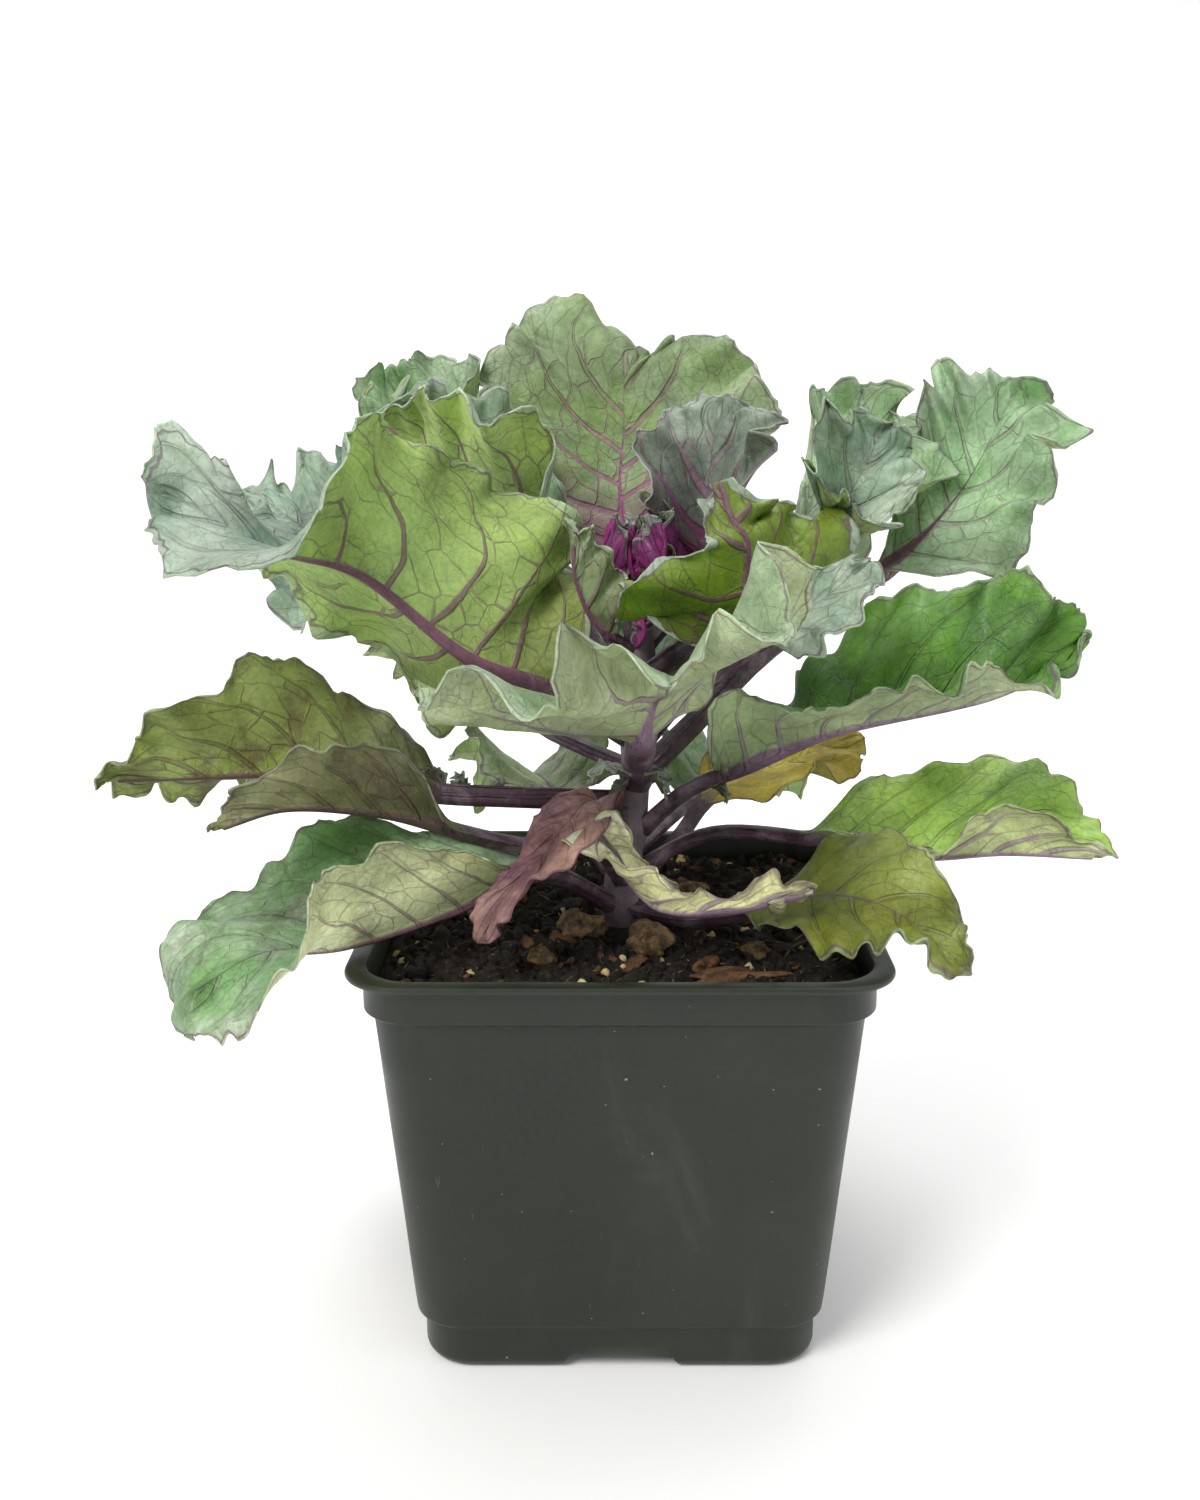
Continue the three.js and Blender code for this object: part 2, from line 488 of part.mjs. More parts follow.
// The leaf's line starts against the stem, at the height of its first point.
function leafCurve(leaf) {
  const points = leaf.line.map((p) => new THREE.Vector3(...p));
  if (!leaf.sunk) {
    const middle = stemMiddle(points[0].z);
    const out = points[1].clone().sub(middle);
    const rise = Math.abs(out.z) / out.length();
    const reach = stemRadius(points[0].z) + SEAT + rise * (BLADE + leaf.rib / 3);
    points[0] = middle.addScaledVector(out.setZ(0).normalize(), reach);
  }
  return new THREE.CatmullRomCurve3(points, false, "catmullrom", 0.5);
}

// The midrib's place and axes at a share u of the line: forward, to the right, and up.
function leafFrame(leaf, curve, u) {
  const step = 0.02;
  const middle = curve.getPointAt(u);
  const ahead = curve.getPointAt(Math.min(u + step, 1));
  const behind = curve.getPointAt(Math.max(u - step, 0));
  const forward = ahead.sub(behind).normalize();
  const heading = curve.getPointAt(1).sub(curve.getPointAt(0)).setZ(0).normalize();
  const level = new THREE.Vector3().crossVectors(heading, new THREE.Vector3(0, 0, 1));
  const right = level.addScaledVector(forward, -level.dot(forward)).normalize();
  const up = new THREE.Vector3().crossVectors(right, forward);
  const x = Math.max(0, (u - leaf.stalk) / (1 - leaf.stalk));
  const roll = radians(along(leaf.roll, x));
  right.applyAxisAngle(forward, -roll);
  up.applyAxisAngle(forward, -roll);
  return { middle, forward, right, up, x };
}

// Half the blade's width at x: round at foot and tip, with the stalk's own width at the foot.
function reachAt(leaf, side, x) {
  const width = leaf.width[side];
  const wide = Array.isArray(width) ? along(width, x) : width;
  const round = Math.sin(Math.PI * (0.1 + 0.83 * x ** leaf.swell)) ** 0.8;
  return wide * round * (1 - Math.exp(-12 * x)) + leaf.rib * (1 - x) + 0.3;
}

// A point of one half, at t from the midrib (0) to the margin (1).
function bladePoint(leaf, frame, side, t) {
  const { middle, forward, right, up, x } = frame;
  const sign = side === 0 ? -1 : 1;
  const open = THREE.MathUtils.lerp(0.2, 1, ease(x, 0, OPENING));
  const fold = radians(along(leaf.fold[side], x)) * open;
  const curl = radians(along(leaf.curl[side], x)) * open + 1e-5;
  const fan = radians(leaf.fan[0] + (leaf.fan[1] - leaf.fan[0]) * x ** 1.5) * ease(x, 0, 0.02);
  const face = up.clone().multiplyScalar(Math.cos(fold)).addScaledVector(right, -sign * Math.sin(fold));
  const flat = right.clone().multiplyScalar(sign * Math.cos(fold)).addScaledVector(up, Math.sin(fold));
  const across = flat.multiplyScalar(Math.cos(fan)).addScaledVector(forward, Math.sin(fan));
  const reach = reachAt(leaf, side, x);
  const turn = curl * t;
  const point = middle.clone()
    .addScaledVector(across, (reach * Math.sin(turn)) / curl)
    .addScaledVector(face, (reach * (1 - Math.cos(turn))) / curl);
  const phase = [1, 2, 3].map((k) => 2 * Math.PI * scatter(leaf.seed + side * 7, k));
  const wave = (2 * Math.PI * leaf.waves * (x + 0.5 * x * x)) / 1.5;
  const size = leaf.ruffle * ease(x, 0, OPENING) * (1 - 0.7 * ease(x, 1 - OPENING, 1));
  const lift = size * (Math.sin(wave + phase[0]) * t ** 1.8
    + 0.45 * Math.sin(2.3 * wave + phase[1]) * t ** 3) + along(leaf.rise[side], x) * t * t;
  const push = size * 0.5 * Math.cos(wave + phase[0] + 0.6) * t ** 2.5;
  const cos = Math.cos(turn);
  const sin = Math.sin(turn);
  return point
    .addScaledVector(face, lift * cos + push * sin)
    .addScaledVector(across, push * cos - lift * sin);
}

// One closed solid: rings of a top and an under face, alike split into triangles.
function leafGeometry(leaf, columns = COLUMNS) {
  const curve = leafCurve(leaf);
  const { stalkRings } = leaf;
  const middles = [];
  const distances = [];
  for (let r = 0; r <= stalkRings + leaf.rings; r++) {
    const share = (r - stalkRings) / leaf.rings;
    const u = share < 0 ? leaf.stalk * (r / stalkRings) : leaf.stalk + (1 - leaf.stalk) * share;
    const frame = leafFrame(leaf, curve, u);
    const rib = THREE.MathUtils.lerp(leaf.rib, RIB_TIP, frame.x);
    const halves = [0, 1].map((side) => {
      const reach = reachAt(leaf, side, frame.x);
      const edge = Math.min(rib / reach, 0.3);
      const shares = [edge, ...columns.map((c) => edge + (1 - edge) * c)];
      return shares.map((t) => ({ at: bladePoint(leaf, frame, side, t), from: t * reach }));
    });
    const row = [...halves[0].reverse(), { at: frame.middle, from: 0 }, ...halves[1]];
    middles.push(row.map((cell) => cell.at));
    distances.push(row.map((cell) => Math.sqrt(Math.max(0, rib * rib - cell.from * cell.from))));
  }
  return skin(middles, distances);
}

// Gives a grid of middle points its thickness, with the rib's depth below and a third of it above.
function skin(middles, depths) {
  const rows = middles.length;
  const wide = middles[0].length;
  const points = [];
  const upper = (r, c) => r * 2 * wide + c;
  const lower = (r, c) => r * 2 * wide + 2 * wide - 1 - c;
  for (let r = 0; r < rows; r++) {
    const normals = middles[r].map((p, c) => {
      const acrossLine = middles[r][Math.min(c + 1, wide - 1)].clone().sub(middles[r][Math.max(c - 1, 0)]);
      const alongLine = middles[Math.min(r + 1, rows - 1)][c].clone().sub(middles[Math.max(r - 1, 0)][c]);
      return acrossLine.cross(alongLine).normalize();
    });
    const place = (c, height) => middles[r][c].clone().addScaledVector(normals[c], height);
    for (let c = 0; c < wide; c++) {
      points.push(place(c, BLADE / 2 + 0.3 * depths[r][c]));
    }
    for (let c = wide - 1; c >= 0; c--) {
      points.push(place(c, -BLADE / 2 - depths[r][c]));
    }
  }
  const index = [];
  const quad = (a, b, c, d) => index.push(a, b, c, a, c, d);
  for (let r = 0; r < rows - 1; r++) {
    for (let c = 0; c < wide - 1; c++) {
      quad(upper(r, c), upper(r, c + 1), upper(r + 1, c + 1), upper(r + 1, c));
      quad(lower(r, c), lower(r + 1, c), lower(r + 1, c + 1), lower(r, c + 1));
    }
    quad(upper(r, wide - 1), lower(r, wide - 1), lower(r + 1, wide - 1), upper(r + 1, wide - 1));
    quad(lower(r, 0), upper(r, 0), upper(r + 1, 0), lower(r + 1, 0));
  }
  for (let c = 0; c < wide - 1; c++) {
    quad(upper(0, c), lower(0, c), lower(0, c + 1), upper(0, c + 1));
  }
  // The tip: the last row's two halves are joined to each other.
  const last = rows - 1;
  const half = (wide - 1) / 2;
  for (let c = 0; c < half; c++) {
    const mirror = wide - 1 - c;
    index.push(upper(last, c), upper(last, c + 1), upper(last, mirror));
    index.push(lower(last, c + 1), lower(last, c), lower(last, mirror));
    if (c + 1 < half) {
      index.push(upper(last, c + 1), upper(last, mirror - 1), upper(last, mirror));
      index.push(lower(last, mirror - 1), lower(last, c + 1), lower(last, mirror));
    }
  }
  quad(upper(last, 0), upper(last, wide - 1), lower(last, wide - 1), lower(last, 0));
  return indexedGeometry(points, index);
}

for (const [name, leaf] of Object.entries(LEAVES)) {
  addMesh(name, leafGeometry({ ...LEAF_DEFAULTS, ...leaf }), leaf.color, 0.6);
}

// ---------------------------------------------------------------- heart

// The growing tip: a short stub on the stem's end, with small cupped leaves sunk into it, each a
// golden angle from the last, longest at the foot.
const HEART_LEAVES = 7;
const HEART_STUB = 13;
const HEART_LONGEST = 20;
const HEART_SHORTEST = 10;
const HEART_SPREAD = 0.5; // how far the lowest leaf leans out, as a share of its length
const HEART_UPRIGHT = 0.25; // and the topmost
const GOLDEN_ANGLE = 137.5;
const HEART_COLUMNS = [0.5, 1];

function heartStub() {
  const foot = STEM_TOP + SEAT;
  return loft([
    stemRing(foot, STEM_TOP_RADIUS),
    stemRing(foot + HEART_STUB / 2, STEM_TOP_RADIUS),
    stemRing(foot + HEART_STUB, STEM_TOP_RADIUS / 2),
  ]);
}

function heartLeaf(number) {
  const share = number / (HEART_LEAVES - 1);
  const angle = radians(40 + number * GOLDEN_ANGLE);
  const long = THREE.MathUtils.lerp(HEART_LONGEST, HEART_SHORTEST, share);
  const lean = long * THREE.MathUtils.lerp(HEART_SPREAD, HEART_UPRIGHT, share);
  const foot = stemMiddle(STEM_TOP + 3 + (HEART_STUB - 4) * share);
  const at = (out, up) => [
    foot.x + Math.cos(angle) * out * lean,
    Math.sin(angle) * out * lean,
    foot.z + up * long,
  ];
  const fold = [30, 40, 40];
  const curl = [20, 40, 30];
  return {
    ...LEAF_DEFAULTS, line: [at(0, 0), at(0.75, 0.3), at(1, 0.7), at(0.9, 1)], sunk: true, stalk: 0.2,
    width: [0.42 * long, 0.42 * long], fold: [fold, fold], curl: [curl, curl], rib: 1,
    ruffle: 0.07 * long, waves: 2.5, seed: 40 + number, stalkRings: 1, rings: 4,
  };
}

let heartSolid = toSolid(heartStub());
for (let number = 0; number < HEART_LEAVES; number++) {
  heartSolid = heartSolid.add(toSolid(leafGeometry(heartLeaf(number), HEART_COLUMNS)));
}
addMesh("heart", toGeometry(heartSolid), HEART, 0.6);

export default object;
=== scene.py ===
import bmesh
import bpy
import math
import numpy as np
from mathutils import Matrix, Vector, noise


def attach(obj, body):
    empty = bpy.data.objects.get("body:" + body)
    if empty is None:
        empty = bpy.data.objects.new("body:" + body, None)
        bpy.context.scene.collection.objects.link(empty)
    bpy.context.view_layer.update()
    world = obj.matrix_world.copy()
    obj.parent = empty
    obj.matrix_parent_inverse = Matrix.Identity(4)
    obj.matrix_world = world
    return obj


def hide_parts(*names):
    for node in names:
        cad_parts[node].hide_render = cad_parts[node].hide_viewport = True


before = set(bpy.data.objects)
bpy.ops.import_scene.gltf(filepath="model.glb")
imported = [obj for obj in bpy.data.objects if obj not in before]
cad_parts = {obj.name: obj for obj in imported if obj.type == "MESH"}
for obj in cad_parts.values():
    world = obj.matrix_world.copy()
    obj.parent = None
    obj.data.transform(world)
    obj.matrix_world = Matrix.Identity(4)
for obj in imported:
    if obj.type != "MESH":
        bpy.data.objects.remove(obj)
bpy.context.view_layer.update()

# An ornamental kale in a square nursery pot. Shapes are worked out in millimetres, with the origin
# at the middle of the pot's foot, and become metres when a mesh is made. Materials read the pieces'
# own coordinates, in metres, and the marks that leaves carry, which are shares or millimetres.

# ---------------------------------------------------------------- sizes

LIP_WIDTH = 114.0
POT_HEIGHT = 95.0
BAND_WIDTH = 107.4  # the upright band below the lip
BAND_HEIGHT = 8.6
BODY_TOP_WIDTH = 103.6
BODY_FOOT_WIDTH = 91.0
FOOT_STEP = 1.7  # the foot ring stands in from the body by this much
FOOT_HEIGHT = 11.5
FOOT_ROUND = 3.0  # the rounding between wall and floor
LIP_THICK = 1.6
POT_WALL = 1.5
POT_FLOOR = 1.8
LIP_CORNER = 13.0
BAND_CORNER = 12.0
BODY_CORNER = 11.0
DRAIN_WIDTH = 28.0  # a drain slot in the middle of each side of the foot
DRAIN_HEIGHT = 3.8
DRAIN_DEPTH = 9.0
DRAIN_SLOPE = 3.0  # the slot's ends lean out by this much
BAND_TOP = POT_HEIGHT - LIP_THICK
BAND_FOOT = BAND_TOP - BAND_HEIGHT
FOOT_WIDTH = BODY_FOOT_WIDTH - 2 * FOOT_STEP

SEAT = 0.3  # between two pieces that touch
SOIL_TOP = 89.0
SOIL_CLEAR = 0.5  # between the soil and the pot's wall
STEM_DEPTH = 14.0  # how far the stem stands in the soil
STEM_BASE_RADIUS = 4.3
STEM_TOP_RADIUS = 2.4
STEM_TOP = 159.0
STEM_LEAN = 5.0  # the stem's upper end stands this far to +X
LEAN_TOP = 141.0  # and is upright from this height on

BLADE_MIDDLE = 0.8  # blade thickness beside the rib
BLADE_MARGIN = 0.4  # and at the margin
RIB = 2.5  # stalk radius at the root; it runs out to RIB_TIP at the leaf's tip
RIB_TIP = 0.5
ROOT_SUNK = 1.4  # how far a stalk's root stands in the stem
RIB_THINNING = 0.45  # the share by which the rib is thinner on the blade than on the stalk
RIB_ABOVE = 0.12  # the share of the rib that shows on the upper face
WIDEST_RIB = 0.3  # as a share of a half's width
ROOT_FLARE = 0.3  # the stalk is thicker at its root by this share
FLARE_LENGTH = 3.0
OPENING = 0.15  # the blade opens out of its stalk over this share of its length
RIM_WIDTH = 2.4  # the rolled rim
WIDEST_RIM = 0.2  # as a share of a half's width
LARGEST_FRILL = 2.4  # the frill grows with a leaf's ruffle up to here; single crests are twice as high
LARGEST_ROLL = 1.6  # and the rim's roll up to here; most of the rim rolls under half as far
TOOTH_GAP = 5.0  # between the teeth of a margin
VEIN_GAP = 10.5  # between side veins
SIDE_VEINS = (2.6, 8.0)  # the fewest and the most on each half
VEIN_BEND = 0.16  # how far a side vein runs on towards the tip, as a share of the blade's length
FIELD_PUFF = 0.9  # how far the blade bulges between two side veins
RING_STEP = 0.62  # between rings of points along the midrib
BLADE_RINGS = (80, 160)  # the fewest and the most
STALK_RINGS = 12
RIB_COLUMNS = 3
BLADE_COLUMNS = 20  # across each half, from the rib's edge to the margin
FRAME_STEP = 0.02  # the line's direction is read over this share of its length each way
LEVEL_ONLY = [1, 1, 0]

# ---------------------------------------------------------------- leaves

# line: points from the stem to near the tip; stalk: the bare share of the line; width, fold and
# curl: of the left and right half, seen from above and looking to the tip; roll: the blade's turn
# round its midrib; rise: how far the margin of each half stands above that; ruffle, waves, seed:
# the waves of the margin; fan: the angle of the side veins; swell: above 1 moves the widest place
# towards the tip; rib: the stalk's radius at its root; relief: a scale for the blade's thickness
# and bulges; free: the line's first point stays where it is, and isn't moved to the stem's surface.
# Lists run from the blade's root to its tip.
LEVEL = [0, 0, 0]
LEAF_DEFAULTS = dict(
    curl=[LEVEL, LEVEL], roll=LEVEL, rise=[LEVEL, LEVEL], fan=[12, 80], swell=1, rib=RIB, ruffle=3, waves=4,
    relief=1.0, free=False,
)

LEAF_ROWS = {
    "leaf_left_low": dict(
        line=[[-3, -5, 95], [-18, -17, 107], [-37, -28, 101], [-58, -38, 97], [-73, -49, 99], [-84, -59, 95]],
        stalk=0.24, width=[[27, 31, 31, 28], [33, 33, 30, 31]],
        fold=[[82, 69, 56, 6, -35], [53, 46, 30, 12, -3]], curl=[[7, 10, 1, 0], [1, -13, -31, -35]],
        roll=[18, 10, 5, -5], ruffle=2.4, waves=3.2, seed=3, swell=1.3, fan=[7, 48],
        rise=[[1, -1, -2, 4, -1, -3, 0, -2], [0, -2, 1, 1, -1, -1, 0, -7]],
    ),
    "leaf_left_inner": dict(
        line=[[-4, -8, 108], [-21, -15, 113], [-38, -22, 119], [-54, -29, 124], [-69, -38, 127],
            [-81, -42, 124]], stalk=0.42, width=[[23, 21, 14, 11], 13],
        fold=[[65, 67, 62, 69, 80], [15, 15, 15, 15, 15]], curl=[[0, 8, 22, 48], LEVEL], ruffle=2, waves=2.5,
        seed=5, roll=[2, 2, 0, -15], fan=[35, 58], rise=[[-1, -1, 2, 0, -2, 0, 3, 2], LEVEL],
    ),
    "leaf_left_mid": dict(
        line=[[-5, -5, 119], [-24, -9, 122], [-44, -12, 124], [-64, -16, 129], [-85, -22, 130],
            [-107, -26, 130]], stalk=0.38, width=[[21, 24, 22, 18], 14],
        fold=[[66, 53, 30, 21, 12], [42, 41, 38, 33, 24]], roll=[-65, -59, -54, -53], ruffle=3.6, seed=8,
        curl=[[34, 13, 0, -9], LEVEL], fan=[3, 74], rise=[[-2, 3, 2, 0, -1, 1, 2, -2], LEVEL],
    ),
    "leaf_left_front": dict(
        line=[[-3, -5, 133], [-14, -11, 146], [-32, -24, 156], [-53, -29, 174], [-68, -50, 182],
            [-84, -53, 192]], stalk=0.2, width=[[57, 44, 27, 24], [29, 25, 20, 27]],
        fold=[[37, 52, 54, 20, -35], [40, 37, 37, 51, 65]], curl=[[-8, 6, 16, -23], [-27, -22, -3, 40]],
        roll=[-75, -53, -19, 62], fan=[-35, 65], ruffle=4, waves=4.2, seed=11,
        rise=[[-2, 4, -2, 2, 4, -2, -5, -4], [0, 0, 0, -1, -2, -1, -9, 2]],
    ),
    "leaf_front_mid": dict(
        line=[[1, -6, 124], [5, -23, 139], [7, -34, 149], [9, -42, 152], [9, -50, 156]], stalk=0.36,
        width=[[23, 34, 40, 46], [57, 60, 61, 59]], fold=[[56, 24, 26, 15, -14], [6, -16, -22, -19, -24]],
        fan=[10, 83], ruffle=6, waves=3.2, seed=2, curl=[[-34, -22, 8, 16], [14, 18, 26, 16]],
        roll=[0, -6, -7, 6], rise=[[2, 9, 5, 5, 4, 1, -3, -5], [4, 5, 1, 0, -1, 0, -3, -7]],
    ),
    "leaf_cup_front": dict(
        line=[[6, -3, 144], [19, -11, 155], [26, -18, 165], [26, -22, 171], [26, -25, 180], [23, -23, 185],
            [21, -17, 192]], stalk=0.36, width=[[41, 35, 23, 10], [33, 32, 30, 20, 7, 6, 8]],
        fold=[[-5, 6, 23, 17, 9], [2, 14, 5, 20, 46]], fan=[-11, 27],
        curl=[[7, 16, 20, 18], [26, 32, 30, 30]], ruffle=1.5, seed=6, roll=[0, 8, 9, 18],
        rise=[[0, -1, -1, 1, 1, -1, -1, 1], [-2, 0, 4, 0, 0, 0, 0, 0]],
    ),
    "leaf_right_mid": dict(
        line=[[5, -2, 113], [16, -2, 123], [31, -7, 130], [49, -12, 138], [80, -13, 145], [101, -7, 153]],
        stalk=0.22, width=[[14, 25, 30, 34], [37, 19, 12, 7]],
        fold=[[10, 24, 48, 59, 64], [87, 65, 58, 52, 40]], curl=[[-18, -7, -2, -9], [17, 0, -7, -15]],
        ruffle=3.6, waves=4.5, seed=4, roll=[3, -16, -21, -26], fan=[-14, 76],
        rise=[[0, -2, -2, 0, 1, 1, 0, -5], [0, -1, -3, -3, 3, 1, -2, 4]],
    ),
    "leaf_right_lower": dict(
        line=[[6, 0, 103], [22, 6, 110], [47, 7, 108], [69, 4, 104], [89, -3, 107], [108, -7, 107]],
        stalk=0.38, width=[[30, 31, 30, 23], [10, 10, 14, 11]],
        fold=[[54, 47, 41, 34, 26], [29, 38, 52, 72, 84]], curl=[[9, 0, -12, -26], [4, 3, 15, 22]],
        ruffle=2.2, waves=3.5, seed=9, roll=[8, -3, -2, -6], fan=[13, 69],
        rise=[[-3, -1, -1, 0, 0, -1, -1, -1], [0, 3, -2, -3, 2, 4, 1, -1]],
    ),
    "leaf_right_low": dict(
        line=[[2, -3, 94], [16, -13, 95], [33, -21, 100], [47, -30, 105], [58, -38, 104], [68, -49, 98]],
        stalk=0.38, width=[[24, 21, 14, 15], [18, 16, 16, 17]],
        fold=[[22, 26, 34, 28, 12], [-10, -13, -10, 2, 6]], curl=[[1, 9, 6, -16], [-20, -11, 2, 10]],
        ruffle=2.8, waves=3.2, seed=12, roll=[-2, -4, -3, 4], fan=[5, 44],
        rise=[[1, -1, -2, 0, 0, 0, 0, -2], [0, 0, 0, 1, -3, 3, -1, 1]],
    ),
    "leaf_front_low": dict(
        line=[[0, -7, 100], [-6, -29, 120], [-1, -32, 115], [8, -39, 106], [23, -39, 105], [40, -39, 109]],
        stalk=0.34, width=[[11, 4, 3, 3], [14, 10, 4, 5]], fold=[[31, 33, 46, 56, 64], [-3, 35, 66, 87, 93]],
        curl=[[18, 10, 3, -3], [6, 20, 31, 28]], rib=2, ruffle=2, seed=13, roll=[-34, -10, 10, 21],
        fan=[-7, 46], rise=[[-3, 2, 2, 0, 0, 0, 0, 0], [0, 0, 1, 0, 1, 0, -3, 2]],
    ),
    "leaf_pink_dry": dict(
        line=[[-1, -8, 113], [-6, -15, 122], [-11, -24, 120], [-17, -33, 114], [-23, -39, 109],
            [-27, -41, 102]], stalk=0.12, width=[[11, 13, 11, 10], [7, 7, 7, 15]],
        fold=[[16, 15, 14, 12, 13], [15, 14, 12, 12, 12]], curl=[[7, 11, 16, 18], [14, 12, 4, -8]], rib=1.5,
        ruffle=1.2, seed=14, roll=[4, 3, -1, -2], fan=[25, 67],
        rise=[[0, 1, 0, -1, 1, -1, -1, 0], [1, 0, 0, 0, -1, -1, 2, -1]],
    ),
    "leaf_right_back": dict(
        line=[[6, 4, 125], [18, 17, 134], [34, 24, 149], [52, 30, 161], [69, 28, 173], [83, 29, 189],
            [93, 31, 209]], stalk=0.62, width=[[24, 16, 28, 25], [26, 23, 22, 20]],
        fold=[[13, 18, 21, 14, -2], [-3, 8, 25, 19, 9]], curl=[[-2, -6, -5, -8], [-25, -20, -7, -4]],
        roll=[-30, -38, -32, -27], ruffle=4.5, waves=4.2, seed=15, fan=[20, 54],
        rise=[[0, 0, 0, -1, 2, 0, -1, -1], [5, 0, 0, 1, 1, -7, -3, 4]],
    ),
    "leaf_right_inner": dict(
        line=[[8, 2, 148], [28, 6, 163], [45, 12, 174], [52, 5, 189], [59, 6, 203]], stalk=0.42,
        width=[[30, 25, 19, 10], [39, 19, 17, 8]], fold=[[53, 51, 37, 25, 23], [42, 30, 13, 9, 13]],
        curl=[[51, 38, 22, 25], [6, 9, -6, -10]], roll=[-42, -61, -66, -62], ruffle=4, seed=16, fan=[52, 36],
        rise=[[-1, 0, 1, 0, -1, 1, 1, 4], [6, 7, 4, 2, -1, -1, 0, 1]],
    ),
    "leaf_right_lobe": dict(
        line=[[7, -3, 136], [27, -13, 155], [42, -20, 167], [50, -23, 174]], stalk=0.6, width=[8, 13],
        fold=[[20, 20, 20], [10, 20, 10]], curl=[[10, 20, 20], [-10, -20, -20]], roll=[-50, -50, -50],
        rib=1.8, ruffle=1.8, waves=3, seed=26,
    ),
    "leaf_right_rear": dict(
        line=[[7, 8, 134], [30, 21, 157], [52, 33, 179], [69, 51, 202]], stalk=0.45,
        width=[[29, 32, 31, 30], [32, 32, 17, 18]], fold=[[17, 20, 21, 28, 52], [13, 19, 26, 29, 51]],
        roll=[-14, -16, -16, -23], ruffle=4, seed=27, curl=[[3, 4, 3, 12], [-2, 9, 19, 49]], fan=[52, 37],
        rise=[[0, 0, 1, 1, -1, -3, -1, 8], [0, 0, -1, -1, 2, -1, -7, 5]],
    ),
    "leaf_back_top": dict(
        line=[[5, 6, 148], [2, 18, 168], [0, 36, 187], [1, 49, 201], [1, 56, 213], [4, 62, 219]], stalk=0.36,
        width=[[40, 40, 41, 44], [42, 41, 35, 27]], fold=[[18, 18, 12, 8, -9], [18, 20, 18, 2, -13]],
        curl=[[13, 8, -8, -31], [9, 6, -3, -23]], ruffle=4, waves=3.8, seed=17, roll=[14, 1, -1, -5],
        fan=[5, 77], rise=[[0, 0, 0, -1, -2, 1, -1, -4], [0, 0, 0, 1, 1, -1, -2, -1]],
    ),
    "leaf_heart_back": dict(
        line=[[7, 6, 155], [19, 14, 168], [20, 16, 181], [21, 18, 193], [23, 22, 207]], stalk=0.2,
        width=[[30, 26, 20, 18], [36, 28, 22, 14]], fold=[[44, 42, 36, 18, -6], [50, 36, 29, 14, 11]],
        curl=[[44, 46, 25, 1], [50, 31, 3, -7]], rib=1.8, ruffle=2.6, seed=18, roll=[-1, -16, -8, 13],
        fan=[25, 49], rise=[[0, 0, 3, 2, 0, -1, -2, -4], [0, 0, -1, 1, -2, -4, 0, -1]],
    ),
    "leaf_heart_left": dict(
        line=[[0, -3, 154], [-5, -7, 161], [-9, -10, 170], [-10, -11, 178]], stalk=0.25, width=[11, 11],
        fold=[[30, 35, 30], [30, 35, 30]], curl=[[18, 30, 30], [10, 30, 30]], rib=1.5, ruffle=2.2, waves=3.5,
        seed=29,
    ),
    "leaf_left_upper": dict(
        line=[[2, 2, 147], [-6, 4, 165], [-18, 15, 175], [-38, 16, 188], [-53, 14, 201]], stalk=0.42,
        width=[[44, 36, 28, 16], [26, 32, 30, 16]], fold=[[47, 44, 34, 30, 25], [57, 50, 40, 28, 22]],
        curl=[[-20, -10, 3, 22], [40, 38, 16, -3]], roll=[-31, -20, -11, -2], ruffle=4, seed=19, fan=[17, 57],
        rise=[[-1, 5, -1, -3, 2, 1, 1, 2], [0, 0, 0, -1, 0, 0, 3, 2]],
    ),
    "leaf_back_left": dict(
        line=[[4, 6, 139], [-14, 24, 161], [-33, 41, 180], [-46, 56, 198], [-59, 68, 210]], stalk=0.4,
        width=[[23, 23, 26, 18], [28, 28, 26, 26]], fold=[[24, 29, 32, 27, 21], [38, 46, 41, 23, 18]],
        roll=[31, 33, 21, 17], ruffle=4, seed=20, curl=[[3, 5, 3, -1], [11, 21, 19, 17]], fan=[37, 63],
        rise=[[0, 0, 0, 0, 1, -2, 2, 1], [0, 1, 2, 3, 0, -2, -1, 1]],
    ),
    "leaf_left_back": dict(
        line=[[3, 4, 133], [-24, 17, 151], [-54, 30, 165], [-79, 44, 177], [-95, 56, 186]], stalk=0.46,
        width=[[33, 26, 15, 14], [33, 28, 24, 21]], fold=[[17, 12, 3, -2, -6], [46, 41, 21, 0, -21]],
        roll=[50, 45, 29, 8], ruffle=4, seed=21, curl=[[-11, -18, -24, -19], [27, 14, -11, -23]],
        fan=[28, 62], rise=[[0, 0, -1, -3, -2, 0, -2, -2], [0, 0, 1, -1, 0, 3, 2, 0]],
    ),
    "leaf_left_behind": dict(
        line=[[-1, 4, 127], [-14, 16, 131], [-30, 30, 136], [-46, 44, 141], [-57, 52, 144]], stalk=0.3,
        width=[21, 23], fold=[[20, 20, 20, 0], [10, 0, -10, -10]], roll=[-10, -20, -10], ruffle=3, waves=3.5,
        seed=22,
    ),
    "leaf_yellow": dict(
        line=[[5, 3, 97], [14, 12, 106], [23, 22, 114], [43, 36, 119], [59, 44, 123]], stalk=0.4,
        width=[16, 15], fold=[[10, 10, 10, 10], [30, 30, 20, 10]], roll=[-20, -30, -30], rib=1.8, ruffle=2.2,
        waves=3, seed=23,
    ),
    "leaf_back_mid": dict(
        line=[[2, 6, 117], [6, 26, 130], [10, 46, 142], [13, 62, 148], [15, 78, 149]], stalk=0.4,
        width=[27, 27], fold=[[30, 30, 20, 10], [30, 30, 20, 10]], ruffle=3.6, seed=24,
    ),
    "leaf_back_low": dict(
        line=[[-2, 5, 100], [-12, 26, 107], [-20, 48, 111], [-25, 66, 108], [-28, 80, 100]], stalk=0.4,
